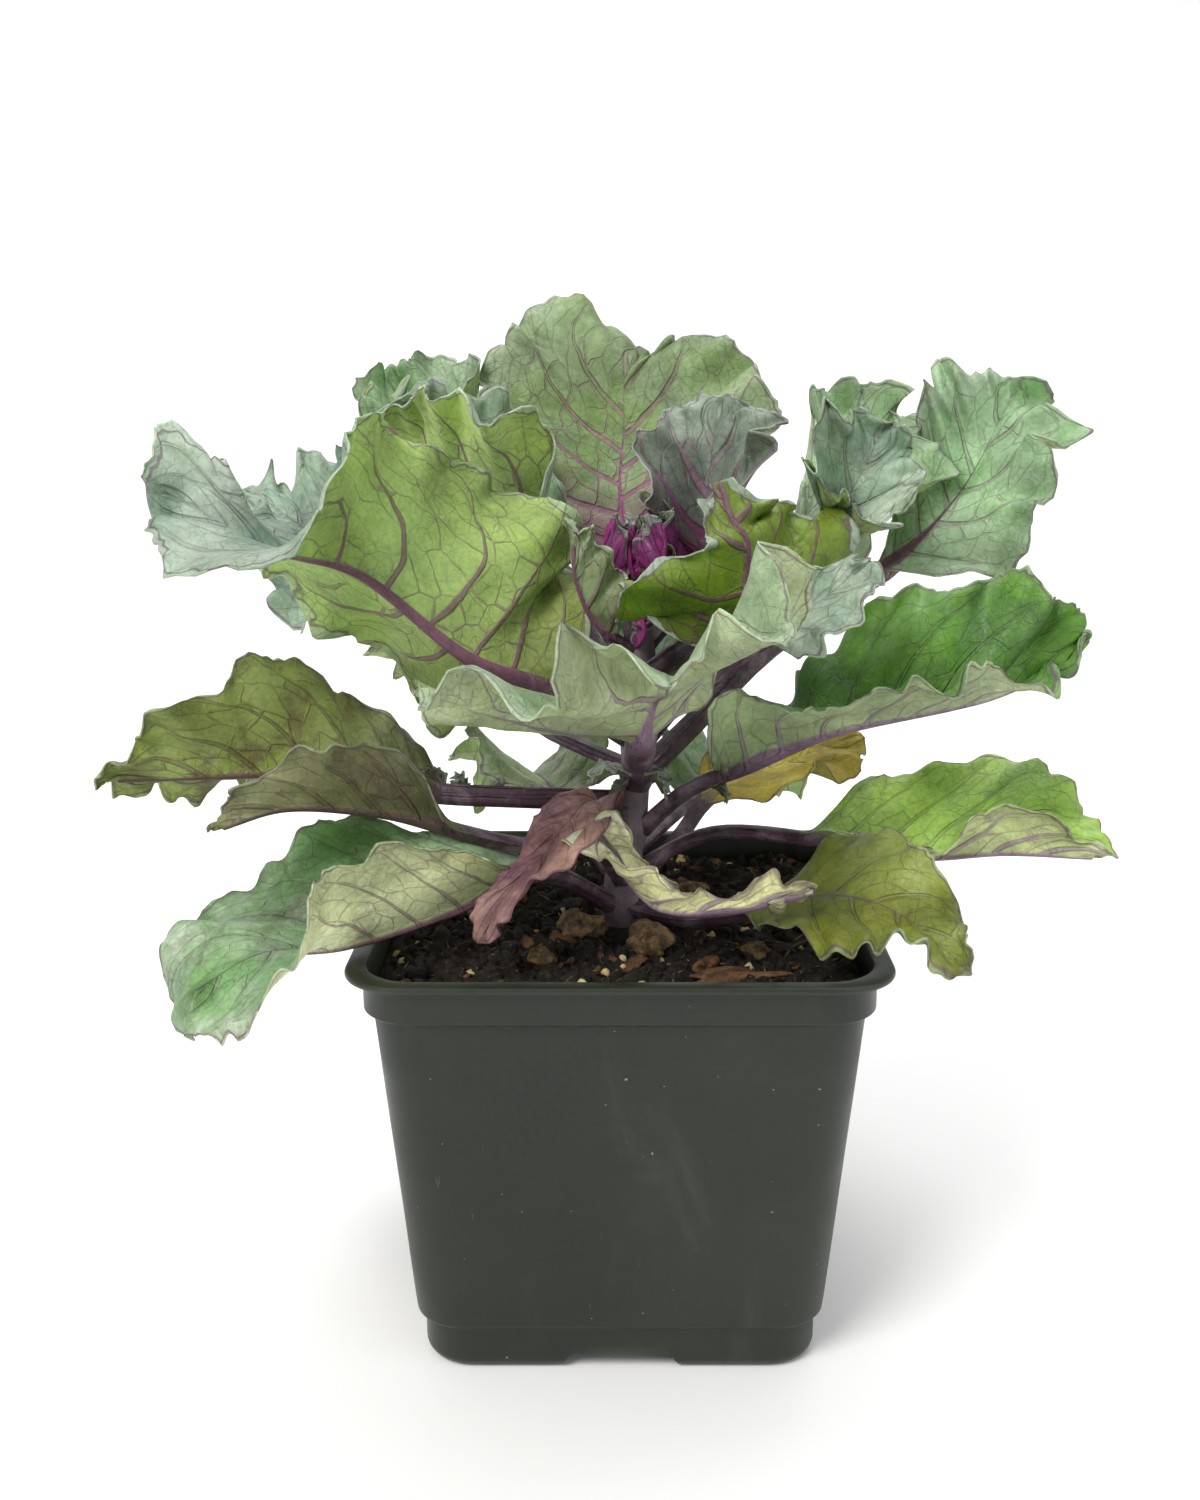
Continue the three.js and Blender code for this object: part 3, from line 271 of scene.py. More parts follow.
        width=[24, 23], fold=[[25, 30, 20, 0], [25, 30, 20, 0]], ruffle=3, waves=3.6, seed=25,
    ),
    "leaf_right_rear_low": dict(
        line=[[4, 6, 106], [14, 28, 109], [25, 50, 111], [34, 66, 108], [41, 80, 101]], stalk=0.42,
        width=[23, 24], fold=[[25, 30, 20, 0], [25, 30, 20, 0]], ruffle=3, waves=3.6, seed=28,
    ),
}
LEAVES = {name: {**LEAF_DEFAULTS, **own} for name, own in LEAF_ROWS.items()}

# ---------------------------------------------------------------- small maths


def smooth(x, low, high):
    """0 below low and 1 above high, with a smooth step between them."""
    t = np.clip((x - low) / (high - low), 0.0, 1.0)
    return t * t * (3.0 - 2.0 * t)


def scatter(seed, index):
    """A fixed value in 0..1 for a seed and an index."""
    v = math.sin(seed * 12.9898 + index * 78.233) * 43758.5453
    return v - math.floor(v)


def through(points, t):
    """A smooth curve through points, read at t, which counts the points from 0."""
    p = np.asarray(points, float)
    ends = np.concatenate([[2 * p[0] - p[1]], p, [2 * p[-1] - p[-2]]])
    k = np.minimum(t.astype(int), len(p) - 2)
    u = t - k if p.ndim == 1 else (t - k)[:, None]
    a, b, c, d = ends[k], ends[k + 1], ends[k + 2], ends[k + 3]
    return 0.5 * (2 * b + (c - a) * u + (2 * a - 5 * b + 4 * c - d) * u**2 + (3 * b - a - 3 * c + d) * u**3)


def along(values, x):
    """A smooth curve through evenly spaced values, read at x in 0..1."""
    return through(values, x * (len(values) - 1))


def unit(v):
    return v / np.linalg.norm(v, axis=-1, keepdims=True)


def lumps(points, size, seed):
    """Smooth noise of about -1..1 at points, with lumps of that size."""
    flat = points.reshape(-1, 3) / size + seed
    values = [noise.noise(p) for p in flat.tolist()]
    return np.array(values).reshape(points.shape[:-1])


def quarter_turn(number):
    """The cosine and sine of that many right angles."""
    return round(math.cos(number * math.pi / 2)), round(math.sin(number * math.pi / 2))


class Line:
    """A smooth line through points, read at shares of its length."""

    def __init__(self, points):
        self.places = through(points, np.linspace(0, len(points) - 1, 201))
        run = np.cumsum(np.linalg.norm(np.diff(self.places, axis=0), axis=1))
        self.length = run[-1]
        self.shares = np.concatenate([[0], run]) / run[-1]

    def at(self, share):
        return np.stack([np.interp(share, self.shares, self.places[:, i]) for i in range(3)], -1)


# ---------------------------------------------------------------- meshes


def add_object(name, points, faces, material, marks=None, smooth_faces=True):
    """A piece from points in millimetres. marks are values that the material reads by name."""
    mesh = bpy.data.meshes.new(name)
    mesh.from_pydata((np.asarray(points) / 1000.0).tolist(), [], faces)
    for mark, values in (marks or {}).items():
        attribute = mesh.attributes.new(mark, "FLOAT", "POINT")
        attribute.data.foreach_set("value", np.asarray(values, np.float32).ravel())
    mesh.polygons.foreach_set("use_smooth", [smooth_faces] * len(mesh.polygons))
    mesh.materials.append(material)
    mesh.update()
    piece = bpy.data.objects.new(name, mesh)
    bpy.context.scene.collection.objects.link(piece)
    return piece


def dress(piece, slot, *nodes):
    """Puts a finished piece on the part, in place of the nodes it stands for."""
    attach(piece, "root")
    if nodes:
        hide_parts(*nodes)


def ring_faces(rings, count):
    """The faces between rings of count points."""
    around = [(i, (i + 1) % count) for i in range(count)]
    starts = range(0, (rings - 1) * count, count)
    return [(a + r, b + r, b + r + count, a + r + count) for r in starts for a, b in around]


def loft(rings):
    """Points and faces of a closed solid through rings, which turn anticlockwise seen from its end."""
    count = len(rings[0])
    last = (len(rings) - 1) * count
    points = np.concatenate([*rings, [np.mean(rings[0], 0)], [np.mean(rings[-1], 0)]])
    faces = ring_faces(len(rings), count)
    for i in range(count):
        j = (i + 1) % count
        faces += [(last + count, j, i), (last + count + 1, last + i, last + j)]
    return points, faces


def gather(parts):
    """Several sets of points, faces and marks as one."""
    points, faces, marks = np.zeros((0, 3)), [], {}
    for more, skins, values in parts:
        faces += [tuple(len(points) + i for i in skin) for skin in skins]
        points = np.concatenate([points, more])
        marks = {name: np.concatenate([marks.get(name, []), values[name]]) for name in values}
    return points, faces, marks


def plain_copy(piece, name):
    """The piece with its modifiers made part of its mesh."""
    graph = bpy.context.evaluated_depsgraph_get()
    mesh = bpy.data.meshes.new_from_object(piece.evaluated_get(graph))
    mesh.name = name
    result = bpy.data.objects.new(name, mesh)
    bpy.context.scene.collection.objects.link(result)
    bpy.data.objects.remove(piece)
    return result


# ---------------------------------------------------------------- node helpers

FLOAT = "NodeSocketFloat"
COLOR = "NodeSocketColor"


def srgb(red, green, blue):
    """A colour given as 0..255 screen values."""
    def linear(c):
        c /= 255.0
        return c / 12.92 if c <= 0.04045 else ((c + 0.055) / 1.055) ** 2.4
    return (linear(red), linear(green), linear(blue), 1.0)


def feed(tree, value, socket):
    """Links a socket to another, or gives it a plain value."""
    if isinstance(value, bpy.types.NodeSocket):
        tree.links.new(value, socket)
    else:
        socket.default_value = value


def add_node(tree, kind, values, **settings):
    """A node with its settings, and values for its input sockets by name or number."""
    node = tree.nodes.new(kind)
    for name, setting in settings.items():
        setattr(node, name, setting)
    for socket, value in values.items():
        feed(tree, value, node.inputs[socket])
    return node


def calc(tree, operation, *values):
    return add_node(tree, "ShaderNodeMath", dict(enumerate(values)), operation=operation).outputs[0]


def times(tree, first, second):
    return calc(tree, "MULTIPLY", first, second)


def larger(tree, first, second):
    return calc(tree, "MAXIMUM", first, second)


def fade(tree, value, low, high, low_to=0.0, high_to=1.0):
    """low_to where value is below low, high_to where it is above high; low may be the larger."""
    values = {"Value": value, "From Min": low, "From Max": high, "To Min": low_to, "To Max": high_to}
    return add_node(tree, "ShaderNodeMapRange", values, interpolation_type="SMOOTHSTEP").outputs[0]


def mix(tree, share, first, second, blend="MIX"):
    values = {0: share, 6: first, 7: second}
    return add_node(tree, "ShaderNodeMix", values, data_type="RGBA", blend_type=blend).outputs[2]


def mark(tree, name):
    """A value that the mesh carries at its points."""
    return add_node(tree, "ShaderNodeAttribute", {}, attribute_name=name).outputs["Fac"]


def place(tree):
    return tree.nodes.new("ShaderNodeTexCoord").outputs["Object"]


def cloud(tree, scale, detail, roughness=0.55, distortion=0.0, vector=None):
    """Smooth noise of 0..1, with about scale lumps to a metre."""
    values = {
        "Vector": vector or place(tree), "Scale": scale, "Detail": detail, "Roughness": roughness,
        "Distortion": distortion,
    }
    return add_node(tree, "ShaderNodeTexNoise", values).outputs["Fac"]


def stretched(tree, x, y, z):
    """The piece's coordinates times a scale for each axis."""
    return add_node(tree, "ShaderNodeMapping", {"Vector": place(tree), "Scale": (x, y, z)}).outputs[0]


def bump(tree, height, distance, strength, over=None):
    """A bumped normal, on top of another where one is given."""
    values = {"Height": height, "Distance": distance, "Strength": strength}
    if over is not None:
        values["Normal"] = over
    return add_node(tree, "ShaderNodeBump", values).outputs[0]


def new_material(name, specular):
    """A material with a Principled shader; returns it with its tree and the shader's sockets."""
    material = bpy.data.materials.new(name)
    material.use_nodes = True
    sockets = material.node_tree.nodes["Principled BSDF"].inputs
    sockets["Specular IOR Level"].default_value = specular
    return material, material.node_tree, sockets


def add_socket(tree, label, kind, side="INPUT"):
    return tree.interface.new_socket(name=label, in_out=side, socket_type=kind)


def new_group(name, inputs, outputs):
    """A shader group; an input's first value tells whether it is a number or a colour."""
    tree = bpy.data.node_groups.new(name, "ShaderNodeTree")
    for label, value in inputs.items():
        add_socket(tree, label, FLOAT if isinstance(value, float) else COLOR).default_value = value
    for label, kind in outputs.items():
        add_socket(tree, label, kind, "OUTPUT")
    return tree, tree.nodes.new("NodeGroupInput").outputs, tree.nodes.new("NodeGroupOutput").inputs


def use_group(tree, group, **values):
    return add_node(tree, "ShaderNodeGroup", values, node_tree=group).outputs


# ---------------------------------------------------------------- shared effects

BRANCH_GAP = 6.5  # between the branches of a side vein, in millimetres
CELL_CHANCE = 0.8  # how irregular the fields between the branches are
LINE_EDGE = (1.35, 0.55)  # a line fades in between these shares of its half width
PLAIN_GREY = (0.5, 0.5, 0.5, 1.0)


def make_vein_group():
    """Side veins, the branches that join them into fields, and the fine net within the fields."""
    tree, given, out = new_group(
        "leaf_veins", {"Phase": 0.0, "Gap": 10.0, "Across": 0.0, "Inner": 0.0, "Width": 1.0},
        {"Veins": FLOAT, "Net": FLOAT, "Ridge": FLOAT},
    )
    across, width = given["Across"], given["Width"]

    def sway(scale, size):
        """A smooth chance value of about -size..size."""
        return times(tree, calc(tree, "SUBTRACT", cloud(tree, scale, 2.0), 0.5), 3.0 * size)

    def stroke(distance, half):
        """A soft line of that half width, in millimetres, where distance is 0."""
        return fade(tree, distance, times(tree, half, LINE_EDGE[0]), times(tree, half, LINE_EDGE[1]))

    # a side vein runs where the phase is a whole number
    phase = calc(tree, "ADD", given["Phase"], sway(55.0, 0.11))
    away = calc(tree, "ABSOLUTE", calc(tree, "SUBTRACT", phase, calc(tree, "ROUND", phase)))
    main_half = times(tree, width, fade(tree, across, 0.0, 1.0, 0.7, 0.16))
    main = stroke(times(tree, away, given["Gap"]), main_half)

    # the branches are the borders of cells, two to the gap between side veins
    onward = calc(tree, "MULTIPLY_ADD", phase, 2.0, 0.5 + CELL_CHANCE / 2)
    outward = calc(tree, "ADD", calc(tree, "DIVIDE", given["Inner"], BRANCH_GAP), sway(120.0, 0.2))
    spot = add_node(tree, "ShaderNodeCombineXYZ", {"X": onward, "Y": outward}).outputs[0]
    fields = add_node(
        tree, "ShaderNodeTexVoronoi", {"Vector": spot, "Scale": 1.0, "Randomness": CELL_CHANCE},
        voronoi_dimensions="2D", feature="DISTANCE_TO_EDGE",
    ).outputs["Distance"]
    branch_half = times(tree, width, fade(tree, away, 0.0, 0.4, 0.3, 0.17))
    branch = stroke(times(tree, times(tree, fields, given["Gap"]), 0.55), branch_half)
    branch = times(tree, branch, fade(tree, cloud(tree, 100.0, 1.0), 0.35, 0.55, 0.3, 1.0))

    # the net is the borders of two sizes of cell, on bent coordinates
    warp = add_node(tree, "ShaderNodeTexNoise", {"Vector": place(tree), "Scale": 160.0}).outputs["Color"]
    bent_values = {0: warp, 1: (0.004, 0.004, 0.004), 2: place(tree)}
    bent = add_node(tree, "ShaderNodeVectorMath", bent_values, operation="MULTIPLY_ADD").outputs[0]
    nets = []
    for scale, reach in ((260.0, 0.03), (600.0, 0.05)):
        values = {"Vector": bent, "Scale": scale}
        cells = add_node(tree, "ShaderNodeTexVoronoi", values, feature="DISTANCE_TO_EDGE")
        nets.append(fade(tree, cells.outputs["Distance"], reach, 0.005))
    net = larger(tree, nets[0], times(tree, nets[1], 0.4))
    net = times(tree, net, fade(tree, cloud(tree, 60.0, 2.0), 0.35, 0.6, 0.3, 1.0))
    veins = larger(tree, main, times(tree, branch, 0.65))
    veins = times(tree, veins, fade(tree, across, 0.5, 1.0, 1.0, 0.6))
    feed(tree, veins, out["Veins"])
    feed(tree, net, out["Net"])
    feed(tree, calc(tree, "MULTIPLY_ADD", net, 0.25, veins), out["Ridge"])
    return tree


def make_bloom_group():
    """A waxy bloom: a pale film, thicker in some places and rubbed off in spots."""
    inputs = {"Color": PLAIN_GREY, "Wax": PLAIN_GREY, "Amount": 0.5}
    tree, given, out = new_group("wax_bloom", inputs, {"Color": COLOR})
    broad = fade(tree, cloud(tree, 38.0, 4.0, 0.6, 0.4), 0.34, 0.66)
    fine = fade(tree, cloud(tree, 420.0, 3.0, 0.6), 0.3, 0.62, 0.6, 1.0)
    film = times(tree, times(tree, broad, fine), given["Amount"])
    feed(tree, mix(tree, film, given["Color"], given["Wax"]), out["Color"])
    return tree


def make_blotch_group():
    """Stains on an ageing leaf: soft brown patches with small dark specks in them."""
    inputs = {"Color": PLAIN_GREY, "Stain": PLAIN_GREY, "Amount": 0.0}
    tree, given, out = new_group("age_blotches", inputs, {"Color": COLOR})
    patches = fade(tree, cloud(tree, 58.0, 5.0, 0.7, 0.8), 0.46, 0.66)
    specks = fade(tree, cloud(tree, 520.0, 2.0, 0.5), 0.62, 0.7)
    stain = larger(tree, times(tree, patches, 0.7), times(tree, specks, 0.35))
    feed(tree, mix(tree, times(tree, stain, given["Amount"]), given["Color"], given["Stain"]), out["Color"])
    return tree


leaf_veins = make_vein_group()
wax_bloom = make_bloom_group()
age_blotches = make_blotch_group()

# ---------------------------------------------------------------- leaf finishes

STALK_DARK = srgb(80, 58, 70)
STALK_LIGHT = srgb(134, 116, 128)
MARGIN_LINE = srgb(92, 58, 84)
# the pale rolled rim: partly the edge's own paleness, partly a painted highlight
PALE_RIM_AND_HIGHLIGHT = srgb(166, 180, 166)
WAX = srgb(174, 186, 168)
BROWN_STAIN = srgb(96, 66, 58)
HEART_MAGENTA = srgb(148, 44, 122)
PURPLE_VEIN = (122, 76, 102)
MAUVE_VEIN = (142, 112, 138)
MAGENTA_VEIN = (150, 36, 118)

# Colours are 0..255 screen values. top and under: the two faces, with their dark parts and veins;
# the under face's root colour is partly its own tint and partly painted shade near the stem;
# bloom: the wax on each face; lines: how strongly veins show; blotch: stains; rim and roll: how pale
# the rolled rim is, partly its own paler edge and partly a painted highlight, and how wide, in
# millimetres; magenta and flush: how strong the blush from the root is and how far it reaches;
# outer_lines: how much of the top's veins is left near the tip.
LEAF_FINISH = dict(
    top=(98, 140, 84), top_dark=(66, 108, 50), top_vein=(120, 104, 116), under=(150, 178, 104),
    under_root_tint_and_shade=(118, 138, 62), under_vein=PURPLE_VEIN, bloom=0.45, under_bloom=0.15, top_lines=0.38,
    under_lines=0.8, blotch=0.0, vein_width=0.85, rim=0.28, roll=0.9, magenta=0.0, flush=0.42,
    outer_lines=0.8, slot="leaf_green",
)
FINISH_ROWS = {
    "leaf_left_low": dict(
        top=(117, 163, 96), top_dark=(85, 132, 67), under=(228, 236, 185), under_root_tint_and_shade=(198, 207, 150),
        bloom=0.7, top_lines=0.3, under_lines=0.55, blotch=0.5, vein_width=0.6,
    ),
    "leaf_left_inner": dict(
        top=(138, 140, 92), top_dark=(104, 110, 60), under=(146, 148, 100), under_root_tint_and_shade=(84, 86, 50),
        under_vein=(104, 84, 78), under_lines=0.45, blotch=0.8, vein_width=0.8, slot="leaf_olive",
    ),
    "leaf_left_mid": dict(
        top=(146, 162, 78), top_dark=(76, 86, 36), top_vein=(92, 88, 54), under=(150, 164, 84),
        under_root_tint_and_shade=(90, 96, 46), under_vein=(96, 70, 66), bloom=0.25, top_lines=0.3, under_lines=0.5,
        blotch=1.0, vein_width=0.8, slot="leaf_olive",
    ),
    "leaf_left_front": dict(
        top=(154, 175, 162), top_dark=(116, 145, 123), under=(159, 189, 102), under_root_tint_and_shade=(125, 138, 59),
        bloom=0.7, under_bloom=0.12, vein_width=0.95, rim=0.4, roll=1.8, slot="leaf_blue_green",
    ),
    "leaf_front_mid": dict(
        top=(140, 164, 118), top_dark=(112, 140, 92), under=(166, 178, 131), under_root_tint_and_shade=(145, 159, 106),
        under_vein=MAUVE_VEIN, under_bloom=0.45, rim=0.15, slot="leaf_pale",
    ),
    "leaf_cup_front": dict(
        top=(134, 156, 132), top_dark=(104, 124, 96), under=(120, 149, 24), under_root_tint_and_shade=(90, 107, 17),
        under_bloom=0.05, vein_width=1.1, rim=0.85, roll=2.2, slot="leaf_olive",
    ),
    "leaf_right_mid": dict(
        top=(88, 140, 16), top_dark=(64, 114, 13), under=(176, 190, 146), under_root_tint_and_shade=(144, 164, 111),
        under_vein=MAUVE_VEIN, bloom=0.2, top_lines=0.2, under_lines=0.6,
    ),
    "leaf_right_lower": dict(
        top=(179, 213, 91), top_dark=(139, 179, 70), under=(180, 190, 130), under_root_tint_and_shade=(160, 172, 110),
        under_vein=MAUVE_VEIN, bloom=0.2, top_lines=0.25,
    ),
    "leaf_right_low": dict(
        top=(124, 133, 23), top_dark=(98, 109, 19), under=(132, 146, 104), bloom=0.15, top_lines=0.25,
        slot="leaf_olive",
    ),
    "leaf_front_low": dict(
        top=(254, 251, 218), top_dark=(224, 227, 180), under=(239, 238, 178), under_root_tint_and_shade=(207, 209, 141),
        under_vein=MAUVE_VEIN, bloom=0.2, rim=0.1, roll=0.3, slot="leaf_pale",
    ),
    "leaf_pink_dry": dict(
        top=(192, 150, 138), top_dark=(126, 84, 98), top_vein=(110, 66, 78), under=(144, 92, 92),
        under_root_tint_and_shade=(118, 70, 84), under_vein=(104, 56, 70), bloom=0.05, top_lines=0.25, under_lines=0.4,
        blotch=0.7, rim=0.0, roll=0.0, slot="leaf_dry",
    ),
    "leaf_right_back": dict(
        top=(146, 180, 135), top_dark=(109, 152, 91), top_vein=PURPLE_VEIN, bloom=0.6, slot="leaf_blue_green",
    ),
    "leaf_right_inner": dict(
        top=(142, 166, 146), top_dark=(108, 136, 106), top_vein=PURPLE_VEIN, bloom=0.65,
        slot="leaf_blue_green",
    ),
    "leaf_right_lobe": dict(top=(111, 140, 119), top_dark=(82, 110, 86), bloom=0.6, slot="leaf_blue_green"),
    "leaf_right_rear": dict(top=(166, 195, 152), top_dark=(125, 165, 107), bloom=0.55),
    "leaf_back_top": dict(
        top=(112, 136, 76), top_dark=(88, 115, 49), top_vein=(132, 62, 106), bloom=0.35, top_lines=0.75,
        vein_width=1.1, magenta=0.5, outer_lines=0.35,
    ),
    "leaf_heart_back": dict(
        top=(106, 124, 105), top_dark=(85, 97, 85), top_vein=(146, 52, 122), under=(124, 120, 128),
        under_vein=MAGENTA_VEIN, bloom=0.4, top_lines=0.8, vein_width=1.6, magenta=1.0, flush=0.6,
        outer_lines=0.12, slot="heart",
    ),
    "leaf_heart_left": dict(
        top=(132, 152, 128), top_dark=(96, 114, 88), under=(126, 143, 100), under_root_tint_and_shade=(92, 94, 59),
        bloom=0.6, top_lines=0.3, under_lines=0.4, slot="leaf_blue_green",
    ),
    "leaf_left_upper": dict(
        top=(118, 150, 116), top_dark=(90, 124, 76), under=(172, 196, 110), under_root_tint_and_shade=(140, 160, 78),
        bloom=0.5, under_bloom=0.2, rim=0.6, roll=2.0,
    ),
    "leaf_back_left": dict(top=(112, 148, 96), top_dark=(88, 124, 68), bloom=0.5),
    "leaf_left_back": dict(top=(115, 143, 125), top_dark=(90, 122, 98), bloom=0.65, slot="leaf_blue_green"),
    "leaf_left_behind": dict(
        top=(158, 180, 108), top_dark=(130, 156, 80), under=(172, 188, 120), slot="leaf_pale",
    ),
    "leaf_yellow": dict(
        top=(210, 192, 62), top_dark=(184, 160, 48), top_vein=(226, 216, 140), under=(206, 194, 96),
        under_root_tint_and_shade=(190, 176, 90), under_vein=(222, 212, 150), bloom=0.1, blotch=0.35, rim=0.1, roll=0.3,
        slot="leaf_yellow",
    ),
    "leaf_back_mid": dict(),
    "leaf_back_low": dict(top=(112, 134, 52), top_dark=(86, 108, 42), blotch=0.4, slot="leaf_olive"),
    "leaf_right_rear_low": dict(top=(104, 146, 72), blotch=0.2),
}
LEAF_FINISHES = {name: {**LEAF_FINISH, **own} for name, own in FINISH_ROWS.items()}


def leaf_material(name, finish):
    material, tree, sockets = new_material(name, 0.4)
    finish = {key: srgb(*value) if isinstance(value, tuple) else value for key, value in finish.items()}
    under, inward, rib, margin = (mark(tree, label) for label in ("under", "along", "rib", "margin"))
    veins = use_group(
        tree, leaf_veins, Phase=mark(tree, "vein"), Gap=mark(tree, "gap"), Across=mark(tree, "across"),
        Inner=rib, Width=finish["vein_width"],
    )
    mottle = fade(tree, cloud(tree, 62.0, 5.0, 0.6, 0.6), 0.36, 0.64)

    def waxed(color, amount):
        return use_group(tree, wax_bloom, Color=color, Wax=WAX, Amount=amount)["Color"]

    def drawn(lines, net_share, rib_low, rib_high, rib_most):
        """Where the side veins, the net between them and the midrib show on one face."""
        net = times(tree, veins["Net"], net_share * lines)
        shown = larger(tree, times(tree, veins["Veins"], lines), net)
        return larger(tree, shown, fade(tree, rib, rib_low, rib_high, 0.0, rib_most))

    # the upper face
    outer = fade(tree, margin, 14.0, 1.0, 0.0, 0.4)
    wax = calc(tree, "ADD", finish["bloom"], times(tree, outer, finish["bloom"]))
    top = waxed(mix(tree, mottle, finish["top"], finish["top_dark"]), wax)
    reach = calc(tree, "ADD", inward, times(tree, mottle, 0.12))
    top = mix(tree, fade(tree, reach, finish["flush"], 0.12, 0.0, finish["magenta"]), top, HEART_MAGENTA)
    near_tip = fade(tree, inward, 0.3, 0.9, 1.0, finish["outer_lines"])
    lines = times(tree, drawn(finish["top_lines"], 0.25, -0.1, -0.6, 0.9), near_tip)
    top = mix(tree, lines, top, finish["top_vein"])

    # the under face, darker towards its root: partly its own olive tint, partly painted shade near the stem
    root = larger(tree, fade(tree, inward, 0.6, 0.0), times(tree, mottle, 0.35))
    below = waxed(mix(tree, root, finish["under"], finish["under_root_tint_and_shade"]), finish["under_bloom"])
    below = mix(tree, drawn(finish["under_lines"], 0.3, 0.2, -0.3, 0.95), below, finish["under_vein"])

    # stains, then the rolled rim, pale partly as its own edge and partly as a painted highlight, which a dark
    # line ends
    color = mix(tree, under, top, below)
    color = use_group(tree, age_blotches, Color=color, Stain=BROWN_STAIN, Amount=finish["blotch"])["Color"]
    rolled = fade(tree, cloud(tree, 110.0, 2.0), 0.35, 0.62, 0.0, finish["roll"])
    past = calc(tree, "SUBTRACT", margin, rolled)
    color = mix(tree, fade(tree, past, 0.2, -0.3, 0.0, finish["rim"]), color, PALE_RIM_AND_HIGHLIGHT)
    color = mix(tree, fade(tree, calc(tree, "ABSOLUTE", past), 0.36, 0.1, 0.0, 0.65), color, MARGIN_LINE)

    # the stalk, whose colour runs a little way up the midrib
    stalk = mix(tree, fade(tree, cloud(tree, 150.0, 4.0, 0.6), 0.42, 0.72), STALK_DARK, STALK_LIGHT)
    rib_near = times(tree, fade(tree, rib, 0.2, -0.3), fade(tree, inward, 0.2, -0.02, 0.0, 0.8))
    color = mix(tree, larger(tree, fade(tree, inward, 0.05, -0.02), rib_near), color, stalk)

    # lighter and darker areas, and the fine grain of the skin
    tone = fade(tree, cloud(tree, 36.0, 4.0, 0.6, 0.5), 0.36, 0.62, 0.66, 1.16)
    cells = fade(tree, cloud(tree, 900.0, 2.0), 0.25, 0.75, 0.86, 1.1)
    feed(tree, mix(tree, 1.0, color, times(tree, cells, tone), "MULTIPLY"), sockets["Base Color"])
    feed(tree, fade(tree, cloud(tree, 200.0, 3.0), 0.3, 0.7, 0.42, 0.62), sockets["Roughness"])

    # veins are sunk in the upper face and stand out of the under face
    ridge = times(tree, veins["Ridge"], calc(tree, "MULTIPLY_ADD", under, 2.0, -1.0))
    coarse = bump(tree, ridge, 0.0008, 0.8)
    feed(tree, bump(tree, cloud(tree, 1400.0, 2.0), 0.0001, 0.5, coarse), sockets["Normal"])
    sockets["Subsurface Weight"].default_value = 0.12
    sockets["Subsurface Radius"].default_value = (0.6, 1.0, 0.25)
    sockets["Subsurface Scale"].default_value = 0.003
    return material


# ---------------------------------------------------------------- leaf shapes


def stem_middle(z):
    """The stem's middle at that height."""
    z = np.asarray(z, float)
    return np.stack([STEM_LEAN * smooth(z, SOIL_TOP, LEAN_TOP), 0 * z, z], -1)


def stem_radius(z):
    return STEM_BASE_RADIUS + (STEM_TOP_RADIUS - STEM_BASE_RADIUS) * (z - SOIL_TOP) / (STEM_TOP - SOIL_TOP)


def leaf_line(leaf):
    """The leaf's line; its root stands a little way in the stem, unless the leaf is free."""
    points = [np.array(p, float) for p in leaf["line"]]
    if not leaf["free"]:
        middle = stem_middle(points[0][2])
        out = unit((points[1] - middle) * LEVEL_ONLY)
        points[0] = middle + out * (stem_radius(middle[2]) - ROOT_SUNK)
    return Line(points)


def leaf_frames(leaf, line, u):
    """The midrib's places and axes at shares of the line: forward, right and up, and the blade's share."""
    forward = unit(line.at(np.minimum(u + FRAME_STEP, 1)) - line.at(np.maximum(u - FRAME_STEP, 0)))
    heading = unit((line.at(1.0) - line.at(0.0)) * LEVEL_ONLY)
    level = np.cross(heading, [0, 0, 1])
    right = unit(level - (forward @ level)[:, None] * forward)
    up = np.cross(right, forward)
    x = np.clip((u - leaf["stalk"]) / (1 - leaf["stalk"]), 0, 1)
    roll = np.radians(along(leaf["roll"], x))[:, None]
    turned = right * np.cos(roll) + up * np.sin(roll)
    return line.at(u), forward, turned, up * np.cos(roll) - right * np.sin(roll), x


def leaf_reach(leaf, side, x):
    """How wide one half is, at shares of the blade's length."""
    width = leaf["width"][side]
    wide = along(width, x) if np.ndim(width) else width
    swell = np.sin(np.pi * (0.1 + 0.83 * x ** leaf["swell"])) ** 0.8
    return wide * swell * (1 - np.exp(-12 * x)) + leaf["rib"] * (1 - x) + 0.3


def wander(run, size, seed):
    """Smooth chance values along a run, mostly within -1..1, with swings of that size."""
    return np.array([2.0 * noise.noise((r / size, seed * 1.7, 0.5)) for r in run.tolist()])[:, None]


